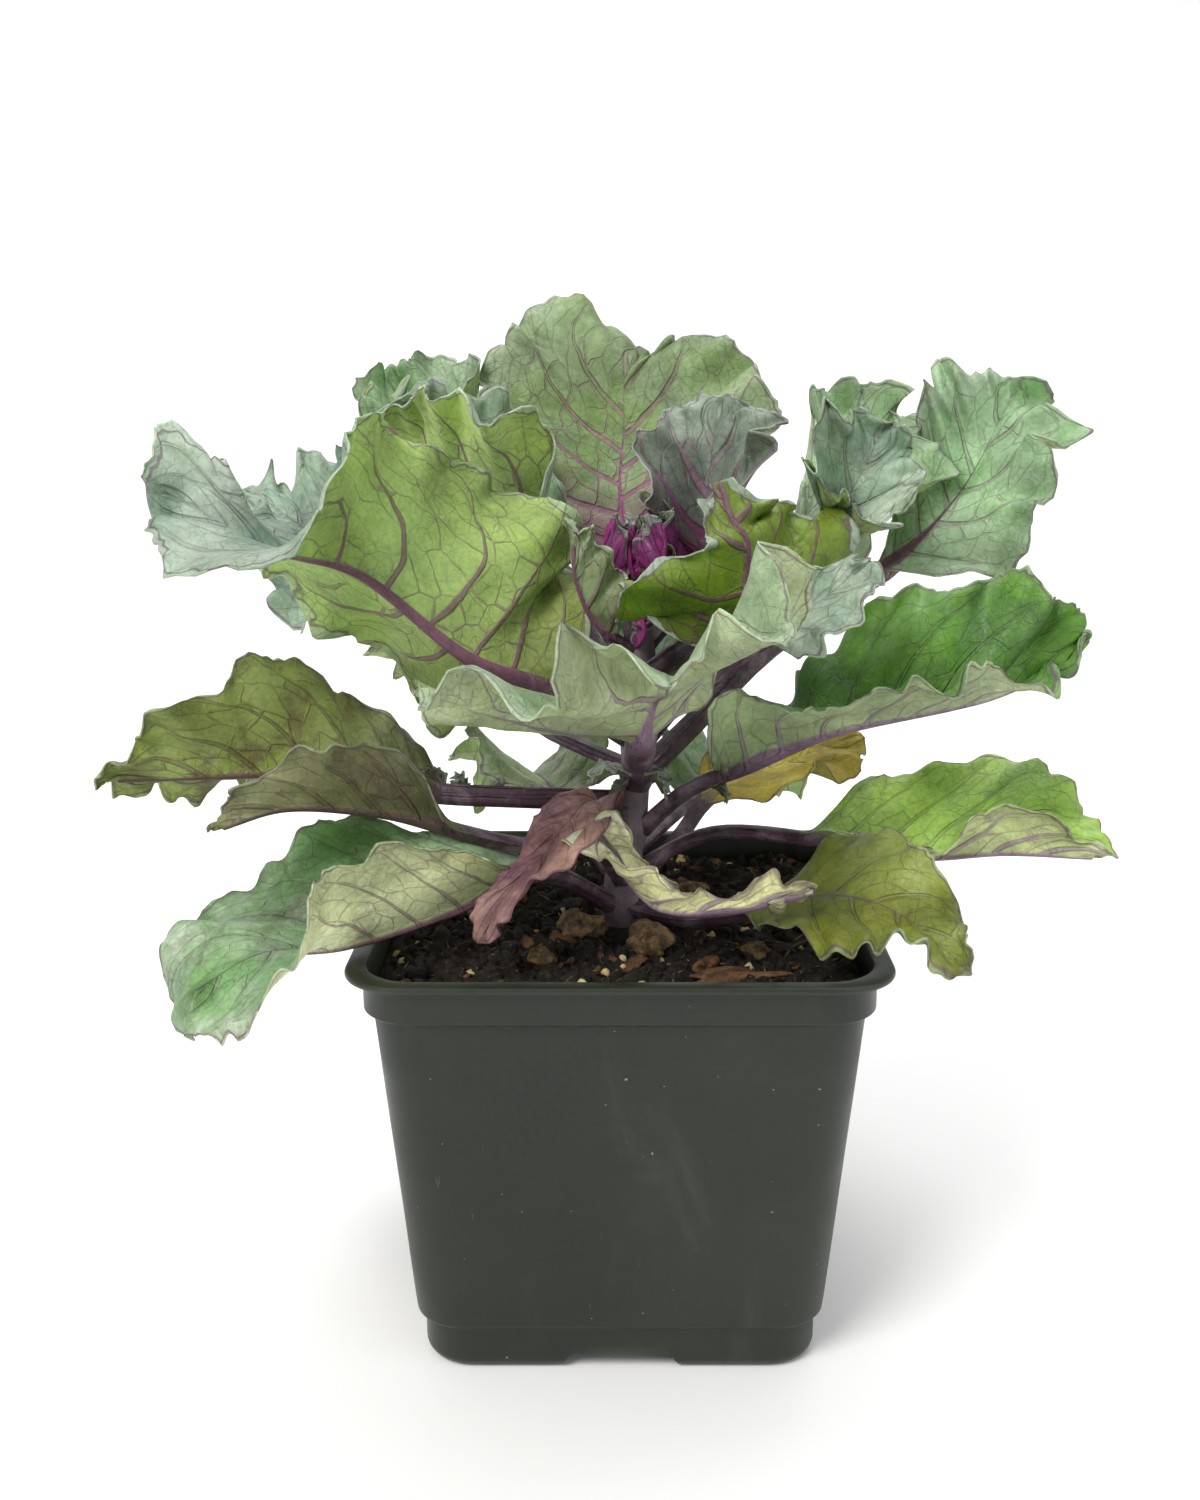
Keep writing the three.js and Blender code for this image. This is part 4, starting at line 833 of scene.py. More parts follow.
def half_blade(leaf, frames, side, t, frill=None):
    """Points of one half: rows along the line, columns at t from the midrib to the margin."""
    middle, forward, right, up, x = frames
    outward = right if side else -right
    opened = smooth(x, 0, OPENING)
    opening = 0.2 + 0.8 * opened
    fold = (np.radians(along(leaf["fold"][side], x)) * opening)[:, None]
    curl = (np.radians(along(leaf["curl"][side], x)) * opening + 1e-5)[:, None]
    first, last = leaf["fan"]
    fan = (np.radians(first + (last - first) * x**1.5) * smooth(x, 0, 0.02))[:, None]
    face = up * np.cos(fold) - outward * np.sin(fold)
    flat = outward * np.cos(fold) + up * np.sin(fold)
    across = flat * np.cos(fan) + forward * np.sin(fan)
    reach = leaf_reach(leaf, side, x)[:, None]

    # broad waves, which grow towards the margin
    early, late = [2 * np.pi * scatter(leaf["seed"] + side * 7, k) for k in (1, 2)]
    wave = 2 * np.pi * leaf["waves"] * (x + 0.5 * x * x)[:, None] / 1.5
    size = (leaf["ruffle"] * opened * (1 - 0.7 * smooth(x, 0.85, 1)))[:, None]
    lift = size * (np.sin(wave + early) * t**1.8 + 0.45 * np.sin(2.3 * wave + late) * t**3)
    lift = lift + along(leaf["rise"][side], x)[:, None] * t**2
    push = size * 0.5 * np.cos(wave + early + 0.6) * t**2.5
    if frill is not None:
        broad, fine, lobes, teeth, rolled = frill
        rim = smooth(t, 1 - np.minimum(RIM_WIDTH / reach, WIDEST_RIM), 1.0)
        lift = lift + broad * t**3.5 + fine * t**8 - rolled * rim**1.5
        push = push + lobes * t**4 + teeth * smooth(t, 0.72, 1.0)

    # the half is bent into an arc by its curl
    turn = curl * t
    cos, sin = np.cos(turn), np.sin(turn)
    bent_out = reach * sin / curl + push * cos - lift * sin
    bent_up = reach * (1 - cos) / curl + lift * cos + push * sin
    return middle[:, None] + across[:, None] * bent_out[..., None] + face[:, None] * bent_up[..., None]


def margin_frill(leaf, frames, side):
    """One half's margin: its broad and fine frill, its lobes, its teeth, and how far its rim rolls."""
    x = frames[4]
    margin = half_blade(leaf, frames, side, np.ones((len(x), 1)))[:, 0]
    run = np.concatenate([[0], np.cumsum(np.linalg.norm(np.diff(margin, axis=0), axis=1))])
    seed = leaf["seed"] * 3 + side * 11
    grow = (smooth(x, 0.02, 0.2) * min(leaf["ruffle"], LARGEST_FRILL))[:, None]
    ends = (1 - smooth(x, 0.93, 1.0))[:, None]
    spacing = run[:, None] / TOOTH_GAP + wander(run, 14, seed + 1)
    tooth = (0.55 - np.abs(np.sin(np.pi * spacing))) * (0.55 + 0.55 * wander(run, 9, seed + 2))
    return [
        grow * wander(run, 11, seed + 3) * (0.3 + 0.7 * ends),
        grow * 0.5 * wander(run, 4.5, seed + 4) * ends,
        grow * 0.65 * wander(run, 8, seed + 5) * ends,
        grow * 0.42 * tooth,
        np.minimum(grow, LARGEST_ROLL) * (0.5 + 0.6 * wander(run, 13, seed + 6)),
    ]


def slopes(grid):
    """How a grid's values change from row to row and from column to column."""
    return np.gradient(grid, axis=0), np.gradient(grid, axis=1)


def surface_normals(grid):
    onward, across = slopes(grid)
    return unit(np.cross(across, onward))


def vein_gaps(grid, phase):
    """The millimetres between side veins at each point, from how fast the phase grows over the surface."""
    onward, across = slopes(grid)
    phase_on, phase_over = slopes(phase)
    e, f, g = (onward**2).sum(-1), (onward * across).sum(-1), (across**2).sum(-1)
    area = np.maximum(e * g - f * f, 1e-9)
    slope = (g * phase_on**2 - 2 * f * phase_on * phase_over + e * phase_over**2) / area
    return np.clip(1 / np.sqrt(np.maximum(slope, 1e-6)), 1.0, 40.0)


def whole(halves, middle):
    """The columns of a leaf from its left margin to its right one."""
    return np.concatenate([halves[0][:, ::-1], middle, halves[1]], 1)


def leaf_mesh(leaf, stalk_rings=STALK_RINGS, blade_rings=None, columns=BLADE_COLUMNS):
    """Points, faces and marks of one leaf: a closed thin solid with an upper and an under face."""
    line = leaf_line(leaf)
    stalk, seed = leaf["stalk"], leaf["seed"]
    blade = line.length * (1 - stalk)
    if blade_rings is None:
        blade_rings = int(np.clip(blade / RING_STEP, *BLADE_RINGS))
    u = np.concatenate([
        stalk * np.arange(stalk_rings) / stalk_rings,
        stalk + (1 - stalk) * np.linspace(0, 1, blade_rings + 1),
    ])
    frames = leaf_frames(leaf, line, u)
    x = frames[4]
    rib = (leaf["rib"] + (RIB_TIP - leaf["rib"]) * x) * (1 - RIB_THINNING * smooth(x, 0.0, 0.35))
    halves, shares, reaches = [], [], []
    for side in (0, 1):
        reach = leaf_reach(leaf, side, x)
        edge = np.minimum(rib / reach, WIDEST_RIB)[:, None]
        inner = edge * np.arange(1, RIB_COLUMNS) / RIB_COLUMNS
        outer = edge + (1 - edge) * (1 - (1 - np.arange(columns + 1) / columns) ** 1.35)
        t = np.concatenate([inner, outer], 1)
        halves.append(half_blade(leaf, frames, side, t, margin_frill(leaf, frames, side)))
        shares.append(t)
        reaches.append(reach[:, None] + 0 * t)
    zero = np.zeros((len(u), 1))
    grid = whole(halves, frames[0][:, None])
    across = whole(shares, zero)
    reach = whole(reaches, reaches[0][:, :1])
    side = whole([0 * shares[0] - 1, 0 * shares[1] + 1], zero)

    # side veins, one to each whole number of the phase, and the tissue that bulges between them
    veins = np.clip(blade / VEIN_GAP, *SIDE_VEINS)
    phase = veins * (x[:, None] * (1.25 - 0.25 * x[:, None]) - VEIN_BEND * across**1.5)
    phase = phase + 3.25 * side + 7 * seed
    phase = phase + 0.14 * lumps(grid, 24.0, seed * 3.1)
    on_blade = smooth(x, 0.0, 0.12)[:, None]
    wide = smooth(across, 0.05, 0.3) * (1 - 0.6 * smooth(across, 0.7, 1.0))
    puff = (np.abs(np.sin(np.pi * phase)) ** 0.8 - 0.6) * FIELD_PUFF * wide * on_blade
    pucker = (0.45 * lumps(grid, 8.0, seed) + 0.2 * lumps(grid, 3.6, seed)) * on_blade
    relief = (puff + pucker * smooth(across, 0.0, 0.2)) * leaf["relief"]
    grid = grid + surface_normals(grid) * relief[..., None]

    # the two faces; the round rib stands out of the under one and flares at the stalk's root
    normals = surface_normals(grid)
    from_rib = across * reach
    flare = 1 + ROOT_FLARE * np.exp(-u * line.length / FLARE_LENGTH)
    round_rib = np.sqrt(np.maximum(0, rib[:, None] ** 2 - from_rib**2)) * flare[:, None]
    thick = (BLADE_MIDDLE + (BLADE_MARGIN - BLADE_MIDDLE) * across) / 2 * leaf["relief"]
    top = grid + normals * (thick + RIB_ABOVE * round_rib)[..., None]
    under = grid - normals * (thick + round_rib)[..., None]
    inward = np.where(u < stalk, (u - stalk) * 2, x)[:, None] + 0 * across
    marks = {
        "vein": phase, "gap": vein_gaps(grid, phase), "across": across, "rib": from_rib - rib[:, None],
        "margin": (1 - across) * reach, "along": inward,
    }
    both = {name: np.concatenate([values.ravel(), values.ravel()]) for name, values in marks.items()}
    both["under"] = np.repeat([0.0, 1.0], across.size)
    points = np.concatenate([top.reshape(-1, 3), under.reshape(-1, 3)])
    return points, leaf_faces(*across.shape), both


def leaf_faces(rows, cols):
    """Faces of a leaf's two grids, its margin, its root and its tip."""
    below = rows * cols
    last, end = below - cols, below - 1
    faces = []
    for left in range(0, last, cols):
        right = left + cols - 1
        for a in range(left, right):
            faces.append((a, a + 1, a + 1 + cols, a + cols))
            faces.append((below + a, below + a + cols, below + a + cols + 1, below + a + 1))
        faces.append((right, below + right, below + right + cols, right + cols))
        faces.append((below + left, left, left + cols, below + left + cols))
    faces += [(c, below + c, below + c + 1, c + 1) for c in range(cols - 1)]
    half = (cols - 1) // 2
    for left in range(last, last + half):
        right = last + end - left
        over = (left, left + 1, right - 1, right)
        beneath = (below + left + 1, below + left, below + right, below + right - 1)
        if left + 1 == last + half:  # the middle column, where the two halves meet in a triangle
            over, beneath = (left, left + 1, right), beneath[:3]
        faces += [over, beneath]
    faces.append((last, end, below + end, below + last))
    return faces


for leaf_name, leaf in LEAVES.items():
    finish = LEAF_FINISHES[leaf_name]
    points, faces, marks = leaf_mesh(leaf)
    piece = add_object("kale_" + leaf_name, points, faces, leaf_material("skin_" + leaf_name, finish), marks)
    dress(piece, finish["slot"], leaf_name)

# ---------------------------------------------------------------- heart

HEART_LEAVES = 7
INNER_LEAVES = 6
HEART_STUB = 13.0  # the length of the stub that carries them
HEART_START = 3.0  # the outermost leaf starts this far above the stem's top
HEART_BARE = 4.0  # and this much of the stub's length has no leaves
STUB_RINGS = 8
STUB_SIDES = 24
HEART_LONGEST = 20.0
HEART_SHORTEST = 10.0
HEART_SPREAD = 0.5  # how far the outermost leaf leans out, as a share of its length
HEART_UPRIGHT = 0.25  # and the innermost
GOLDEN_ANGLE = 137.5
HEART_MESH = (4, 34, 12)  # rings on the stalk, rings on the blade and columns

HEART_FINISH = dict(
    LEAF_FINISH, top=(156, 34, 128), top_dark=(126, 30, 104), top_vein=(180, 60, 152), under=(138, 64, 122),
    under_root_tint_and_shade=(150, 34, 120), under_vein=MAGENTA_VEIN, bloom=0.1, under_bloom=0.1, vein_width=1.3, rim=0.8,
    roll=1.6, magenta=1.0,
)


def heart_leaf(number, count, turn, shrink):
    """One small cupped leaf of a whorl of count leaves, from the outermost to the innermost."""
    share = number / (count - 1)
    angle = math.radians(turn + number * GOLDEN_ANGLE)
    length = (HEART_LONGEST + (HEART_SHORTEST - HEART_LONGEST) * share) * shrink
    lean = length * (HEART_SPREAD + (HEART_UPRIGHT - HEART_SPREAD) * share)
    foot = stem_middle(STEM_TOP + HEART_START + (HEART_STUB - HEART_BARE) * share)

    def at(out, up):
        return [foot[0] + math.cos(angle) * out * lean, math.sin(angle) * out * lean, foot[2] + up * length]

    return dict(
        LEAF_DEFAULTS, line=[at(0, 0), at(0.75, 0.3), at(1, 0.7), at(0.9, 1)], stalk=0.2,
        width=[0.42 * length] * 2, fold=[[30, 40, 40]] * 2, curl=[[20, 40, 30]] * 2, rib=1.0,
        ruffle=0.07 * length, waves=2.5, seed=40 + number, relief=0.4, free=True,
    )


def circle(count, first=0.0):
    """The cosines and sines of evenly spaced angles, as a level ring with a radius of 1."""
    angle = 2 * np.pi * (np.arange(count) + first) / count
    return np.stack([np.cos(angle), np.sin(angle), 0 * angle], -1)


def make_heart():
    """A stub on the stem's top, with a whorl of small leaves and a smaller one within it."""
    foot = STEM_TOP + SEAT
    stub = []
    for ring in range(STUB_RINGS + 1):
        share = ring / STUB_RINGS
        radius = STEM_TOP_RADIUS * (1 - 0.5 * share**2)
        stub.append(circle(STUB_SIDES) * radius + stem_middle(foot + HEART_STUB * share))
    points, faces = loft(stub)
    plain = dict(vein=0.0, gap=0.0, across=0.0, rib=0.0, margin=9.0, along=-1.0, under=0.0)
    marks = {name: np.full(len(points), value) for name, value in plain.items()}
    leaflets = [heart_leaf(n, HEART_LEAVES, 40.0, 1.0) for n in range(HEART_LEAVES)]
    leaflets += [heart_leaf(n + 2, HEART_LEAVES + 1, 95.0, 0.62) for n in range(INNER_LEAVES)]
    parts = [(points, faces, marks)] + [leaf_mesh(leaflet, *HEART_MESH) for leaflet in leaflets]
    points, faces, marks = gather(parts)
    return add_object("kale_heart", points, faces, heart_skin, marks)


heart_skin = leaf_material("skin_heart", HEART_FINISH)
dress(make_heart(), "heart", "heart")

# ---------------------------------------------------------------- small growths

# small lobes on the stalks: the leaf, the share of its line, the way the lobe grows, its length and
# its width
STALK_LOBES = [
    ("leaf_left_mid", 0.37, (-0.55, -0.3, 0.75), 7.0, 2.4),
    ("leaf_left_mid", 0.33, (-0.5, 0.3, 0.7), 4.5, 1.8),
    ("leaf_left_mid", 0.27, (0.3, -0.4, 0.7), 3.5, 1.4),
    ("leaf_front_mid", 0.14, (-0.85, -0.2, -0.3), 10.0, 4.0),
    ("leaf_front_mid", 0.17, (0.6, -0.2, -0.7), 8.5, 3.4),
    ("leaf_front_mid", 0.1, (-0.5, 0.1, -0.75), 7.0, 3.0),
    ("leaf_right_mid", 0.17, (0.7, -0.2, -0.5), 6.5, 3.0),
]
LOBE_MESH = (3, 26, 8)
SHOOT_MESH = (3, 30, 12)
GROWTH = dict(LEAF_DEFAULTS, relief=0.3, free=True)
SHOOT = dict(
    GROWTH, line=[(3.5, -2, 155), (4.5, -6, 156.5), (5.5, -9, 159), (5, -8.5, 162)], stalk=0.1,
    width=[4.5] * 2, fold=[[40, 60, 70]] * 2, curl=[[60, 120, 130]] * 2, rib=0.6, ruffle=0.8, seed=61,
)
LOBE_FINISH = dict(
    LEAF_FINISH, top=(112, 132, 112), top_dark=(70, 86, 62), under=(104, 118, 88), under_root_tint_and_shade=(78, 76, 66),
    under_lines=0.4, top_lines=0.3,
)


def stalk_lobe(number, name, share, way, length, width):
    """A small leaf that grows from the stalk of a large one."""
    start = leaf_line(LEAVES[name]).at(share)
    way = unit(np.array(way)) * length
    return dict(
        GROWTH, line=[start, start + way * 0.35, start + way * 0.7 + [0, 0, 0.08 * length], start + way],
        stalk=0.12, width=[width] * 2, fold=[[15, 35, 30]] * 2, curl=[[10, 30, 20]] * 2, rib=0.5, ruffle=0.9,
        seed=50 + number,
    )


lobes = [stalk_lobe(number, *spot) for number, spot in enumerate(STALK_LOBES)]
points, faces, marks = gather([leaf_mesh(lobe, *LOBE_MESH) for lobe in lobes])
lobe_skin = leaf_material("skin_lobes", LOBE_FINISH)
dress(add_object("kale_stalk_lobes", points, faces, lobe_skin, marks), "leaf_green")
points, faces, marks = leaf_mesh(SHOOT, *SHOOT_MESH)
dress(add_object("kale_side_shoot", points, faces, heart_skin, marks), "heart")

# ---------------------------------------------------------------- stem

STEM_RINGS = 110
STEM_SIDES = 40
STEM_SWELL = 1.1  # how far the stem swells under a stalk's root
SWELL_REACH = 3.4  # and over what height
SWELL_DROP = 1.5  # the swelling sits this far below the root
STEM_ROUGH = 0.22  # how far the stem's skin strays from smooth


def make_stem_material():
    material, tree, sockets = new_material("purple_stem", 0.5)
    long_grain = cloud(tree, 1.0, 4.0, 0.6, 0.3, stretched(tree, 420.0, 420.0, 60.0))
    patches = fade(tree, cloud(tree, 95.0, 4.0, 0.6), 0.4, 0.7)
    color = mix(tree, patches, srgb(106, 92, 100), srgb(150, 138, 146))
    color = mix(tree, fade(tree, long_grain, 0.4, 0.75, 0.0, 0.5), color, srgb(104, 96, 100))
    scars = fade(tree, cloud(tree, 260.0, 2.0), 0.6, 0.68, 0.0, 0.6)
    feed(tree, mix(tree, scars, color, srgb(122, 104, 84)), sockets["Base Color"])
    feed(tree, fade(tree, long_grain, 0.3, 0.7, 0.5, 0.72), sockets["Roughness"])
    feed(tree, bump(tree, long_grain, 0.0006, 0.6), sockets["Normal"])
    return material


def make_stem():
    """The stem swells a little under each stalk's root."""
    roots = []
    for leaf in LEAVES.values():
        line = leaf_line(leaf)
        start, ahead = line.at(0.0), line.at(0.08)
        roots.append((start[2], math.atan2(ahead[1], ahead[0] - start[0])))
    ring = circle(STEM_SIDES)
    angle = np.arctan2(ring[:, 1], ring[:, 0])
    rings = []
    for z in np.linspace(SOIL_TOP - STEM_DEPTH, STEM_TOP, STEM_RINGS):
        swell = 0 * angle
        for height, way in roots:
            near = np.exp(-(((z - height + SWELL_DROP) / SWELL_REACH) ** 2))
            swell = swell + STEM_SWELL * near * np.maximum(0, np.cos(angle - way)) ** 3
        radius = min(stem_radius(z), STEM_BASE_RADIUS) + swell
        rough = STEM_ROUGH * lumps(ring * radius[:, None] + stem_middle(z), 3.5, 2.0)
        calm = smooth(z, SOIL_TOP - 1, SOIL_TOP + 3)
        radius = STEM_BASE_RADIUS * (1 - calm) + (radius + rough) * calm
        rings.append(ring * radius[:, None] + stem_middle(z))
    return add_object("kale_stem", *loft(rings), make_stem_material())


dress(make_stem(), "stem", "stem")

# ---------------------------------------------------------------- pot

CORNER_STEPS = 14
SIDE_STEPS = 16
FOOT_STEPS = 6  # in the rounding between wall and floor
WALL_RINGS = 24
WALL_WOBBLE = 0.15  # how far the moulded wall strays from flat
SHARP_ANGLE = 38.0


def square_ring(width, corner, z, wobble=0.0):
    """A level square ring with round corners, and points along its sides too."""
    reach = width / 2 - corner
    angles = [step / CORNER_STEPS * math.pi / 2 for step in range(CORNER_STEPS + 1)]
    quarter = [(reach + corner * math.cos(angle), reach + corner * math.sin(angle)) for angle in angles]
    quarter += [(reach - 2 * reach * step / SIDE_STEPS, width / 2) for step in range(1, SIDE_STEPS)]
    turns = [quarter_turn(number) for number in range(4)]
    ring = np.array([(x * cos - y * sin, x * sin + y * cos, z) for cos, sin in turns for x, y in quarter])
    if wobble:
        ring = ring + unit(ring * LEVEL_ONLY) * (wobble * lumps(ring, 34.0, 5.0))[:, None]
    return ring


def pot_rings():
    """The pot's rings, up its outside, over the lip and down its inside to the floor."""
    wall = 2 * POT_WALL
    inside = FOOT_WIDTH - wall
    step = FOOT_HEIGHT - FOOT_STEP
    levels = []
    for number in range(FOOT_STEPS + 1):
        angle = math.radians(90 / FOOT_STEPS * number)
        out, up = FOOT_ROUND * (1 - math.sin(angle)), FOOT_ROUND * (1 - math.cos(angle))
        levels.append((FOOT_WIDTH - 2 * out, BODY_CORNER - out, up))
    levels += [
        (FOOT_WIDTH, BODY_CORNER, step - 0.6),
        (FOOT_WIDTH + 0.1, BODY_CORNER, step),
        (FOOT_WIDTH + 0.6, BODY_CORNER, step + 0.5),
        (BODY_FOOT_WIDTH - 0.6, BODY_CORNER, FOOT_HEIGHT - 0.4),
        (BODY_FOOT_WIDTH - 0.1, BODY_CORNER, FOOT_HEIGHT),
        (BODY_FOOT_WIDTH, BODY_CORNER, FOOT_HEIGHT + 0.5),
    ]
    for number in range(1, WALL_RINGS):
        share = number / WALL_RINGS
        z = FOOT_HEIGHT + (BAND_FOOT - FOOT_HEIGHT) * share
        width = BODY_FOOT_WIDTH + (BODY_TOP_WIDTH - BODY_FOOT_WIDTH) * share
        levels.append((width, BODY_CORNER, z, WALL_WOBBLE * math.sin(math.pi * share)))
    levels += [
        (BODY_TOP_WIDTH, BODY_CORNER, BAND_FOOT - 0.3),
        (BODY_TOP_WIDTH + 0.5, BODY_CORNER, BAND_FOOT),
        (BAND_WIDTH - 0.8, BAND_CORNER, BAND_FOOT + 0.5),
        (BAND_WIDTH - 0.1, BAND_CORNER, BAND_FOOT + 0.9),
        (BAND_WIDTH, BAND_CORNER, BAND_FOOT + 1.4),
        (BAND_WIDTH, BAND_CORNER, BAND_TOP - 0.6),
        (BAND_WIDTH + 0.3, BAND_CORNER, BAND_TOP - 0.1),
        (BAND_WIDTH + 1.0, BAND_CORNER, BAND_TOP),
        (LIP_WIDTH - 1.2, LIP_CORNER, BAND_TOP),
        (LIP_WIDTH - 0.3, LIP_CORNER, BAND_TOP + 0.2),
        (LIP_WIDTH, LIP_CORNER, BAND_TOP + 0.6),
        (LIP_WIDTH, LIP_CORNER, POT_HEIGHT - 0.6),
        (LIP_WIDTH - 0.3, LIP_CORNER, POT_HEIGHT - 0.2),
        (LIP_WIDTH - 1.2, LIP_CORNER, POT_HEIGHT),
        (BAND_WIDTH - 0.2, BAND_CORNER, POT_HEIGHT),
        (BAND_WIDTH - 1.4, BAND_CORNER - 0.5, POT_HEIGHT - 0.3),
        (BAND_WIDTH - wall, BAND_CORNER - POT_WALL, BAND_TOP - 0.4),
        (BAND_WIDTH - wall, BAND_CORNER - POT_WALL, BAND_FOOT + 1),
        (BODY_TOP_WIDTH - wall, BODY_CORNER - POT_WALL, BAND_FOOT - 1),
        (inside, BODY_CORNER - POT_WALL, FOOT_HEIGHT),
        (inside, BODY_CORNER - POT_WALL, POT_FLOOR + FOOT_ROUND),
        (inside - 2 * FOOT_ROUND, BODY_CORNER - POT_WALL - FOOT_ROUND, POT_FLOOR),
    ]
    return [square_ring(*level) for level in levels]


def drain_cutter(side):
    """The block that cuts one drain slot; it reaches a little past the foot's side and underside."""
    half = DRAIN_WIDTH / 2
    upper = half - DRAIN_SLOPE
    outline = [
        (-half, -1), (half, -1), (upper + 0.5, DRAIN_HEIGHT - 0.5), (upper - 0.5, DRAIN_HEIGHT),
        (-upper + 0.5, DRAIN_HEIGHT), (-upper - 0.5, DRAIN_HEIGHT - 0.5),
    ]
    ends = [-BODY_FOOT_WIDTH / 2 + DRAIN_DEPTH, -BODY_FOOT_WIDTH / 2 - 1]
    cos, sin = quarter_turn(side)
    return loft([[(x * cos - y * sin, x * sin + y * cos, z) for x, z in outline] for y in ends])


def make_pot_material():
    material, tree, sockets = new_material("moulded_pot", 0.4)
    smear_lines = cloud(tree, 1.0, 4.0, 0.6, 0.8, stretched(tree, 55.0, 55.0, 14.0))
    scratch_lines = cloud(tree, 1.0, 2.0, 0.5, 1.2, stretched(tree, 900.0, 900.0, 26.0))
    edges = tree.nodes.new("ShaderNodeNewGeometry").outputs["Pointiness"]
    tone = fade(tree, cloud(tree, 16.0, 3.0, 0.5), 0.3, 0.7)
    fine = fade(tree, cloud(tree, 700.0, 3.0, 0.6), 0.35, 0.75, 0.0, 0.3)
    smears = fade(tree, smear_lines, 0.56, 0.8, 0.0, 0.2)
    dust = fade(tree, cloud(tree, 820.0, 0.0), 0.872, 0.89, 0.0, 0.5)
    scratches = fade(tree, scratch_lines, 0.74, 0.8, 0.0, 0.3)
    # painted highlight: sharp edges, such as the lip's front edge, are painted lighter
    painted_edge_highlight = fade(tree, edges, 0.53, 0.6, 0.0, 0.6)

    color = mix(tree, tone, srgb(18, 24, 16), srgb(34, 41, 29))
    color = mix(tree, fine, color, srgb(35, 41, 31))
    color = mix(tree, smears, color, srgb(76, 80, 68))
    color = mix(tree, dust, color, srgb(168, 166, 152))
    color = mix(tree, scratches, color, srgb(96, 100, 92))
    # the edges' painted highlight
    feed(tree, mix(tree, painted_edge_highlight, color, srgb(110, 113, 102)), sockets["Base Color"])
    gloss = fade(tree, cloud(tree, 30.0, 4.0, 0.6, 0.4), 0.3, 0.7, 0.34, 0.5)
    feed(tree, calc(tree, "ADD", gloss, times(tree, dust, 0.2)), sockets["Roughness"])
    wavy = bump(tree, cloud(tree, 38.0, 2.0), 0.0008, 0.2)
    feed(tree, bump(tree, cloud(tree, 1500.0, 2.0), 0.00005, 0.5, wavy), sockets["Normal"])
    return material


def make_pot():
    """The moulded shell, with a slot cut through each side of its foot."""
    pot = add_object("pot_shell", *loft(pot_rings()), make_pot_material())
    cutters = []
    for side in range(4):
        cutter = add_object(f"drain_{side}", *drain_cutter(side), pot.data.materials[0], smooth_faces=False)
        cut = pot.modifiers.new(cutter.name, "BOOLEAN")
        cut.operation = "DIFFERENCE"
        cut.solver = "EXACT"
        cut.object = cutter
        cutters.append(cutter)
    piece = plain_copy(pot, "nursery_pot")
    for cutter in cutters:
        bpy.data.objects.remove(cutter)
    piece.data.set_sharp_from_angle(angle=math.radians(SHARP_ANGLE))
    return piece


dress(make_pot(), "pot", "pot")

# ---------------------------------------------------------------- soil

SOIL_RINGS = 60  # from the pot's wall to the stem
SOIL_EDGE = 0.1  # between the soil's top and the wall
SOIL_IN_STEM = 0.4  # the soil's top runs into the stem by this much
SOIL_DROP = 0.8  # how far it sinks at the wall
BED = slice(3, -4)  # the rings that grains lie on, clear of the wall and the stem
LUMP_DETAIL = 4
LUMP_ROUGH = 0.09  # fine dents, as a share of a lump's least size
LUMP_LIFT = 0.3  # a lump's middle stands above the soil's level by this share of its height


def soil_height(points):
    """How far the soil's lumpy top stands above its level."""
    x, y = points[..., 0], points[..., 1]
    coarse = np.sin(x * 0.31 + 1.7) * np.cos(y * 0.27 + 0.4)
    coarse = coarse + 0.6 * np.sin(x * 0.62 - y * 0.48 + 2.1) + 0.5 * np.cos(x * 0.83 + y * 0.91)
    fine = 0.8 * lumps(points, 5.0, 8.0) + 0.5 * lumps(points, 2.3, 3.0)
    return coarse * 0.9 + fine


def soil_top_rings():
    """The soil's top, from the pot's wall to the stem; it is calm and sinks a little at the wall."""
    edge = square_ring(BAND_WIDTH - 2 * (POT_WALL + SOIL_EDGE), BODY_CORNER - POT_WALL, SOIL_TOP)
    hole = circle(len(edge), CORNER_STEPS / 2) * (STEM_BASE_RADIUS - SOIL_IN_STEM)
    hole[:, 2] = SOIL_TOP
    rings = []
    for number in range(SOIL_RINGS + 1):
        share = number / SOIL_RINGS
        ring = edge * (1 - share) + hole * share
        calm = smooth(share, 0.0, 0.05) * (1 - smooth(share, 0.93, 1.0))
        ring[:, 2] = SOIL_TOP + soil_height(ring) * calm - SOIL_DROP * (1 - smooth(share, 0.0, 0.06))
        rings.append(ring)
    return rings


def make_soil_material(name, dark, light, rough, fleck=None):
    material, tree, sockets = new_material(name, 0.35)
    color = mix(tree, fade(tree, cloud(tree, 420.0, 5.0, 0.7), 0.35, 0.7), dark, light)
    if fleck is not None:
        color = mix(tree, fade(tree, cloud(tree, 1300.0, 2.0), 0.66, 0.74, 0.0, 0.8), color, fleck)
    feed(tree, color, sockets["Base Color"])
    feed(tree, fade(tree, cloud(tree, 250.0, 3.0), 0.3, 0.7, rough - 0.2, rough), sockets["Roughness"])
    feed(tree, bump(tree, cloud(tree, 700.0, 5.0, 0.7), 0.0009, 0.9), sockets["Normal"])
    return material


peat = make_soil_material("damp_peat", srgb(15, 13, 11), srgb(48, 40, 30), 0.95, srgb(128, 108, 72))
grit = make_soil_material("pale_grit", srgb(196, 176, 128), srgb(226, 206, 150), 0.8)
crust = make_soil_material("brown_crust", srgb(70, 54, 36), srgb(150, 124, 88), 0.9, srgb(44, 34, 24))
bark = make_soil_material("bark_chip", srgb(66, 44, 28), srgb(124, 88, 56), 0.85)
fibre = make_soil_material("peat_fibre", srgb(84, 62, 40), srgb(150, 120, 82), 0.85)


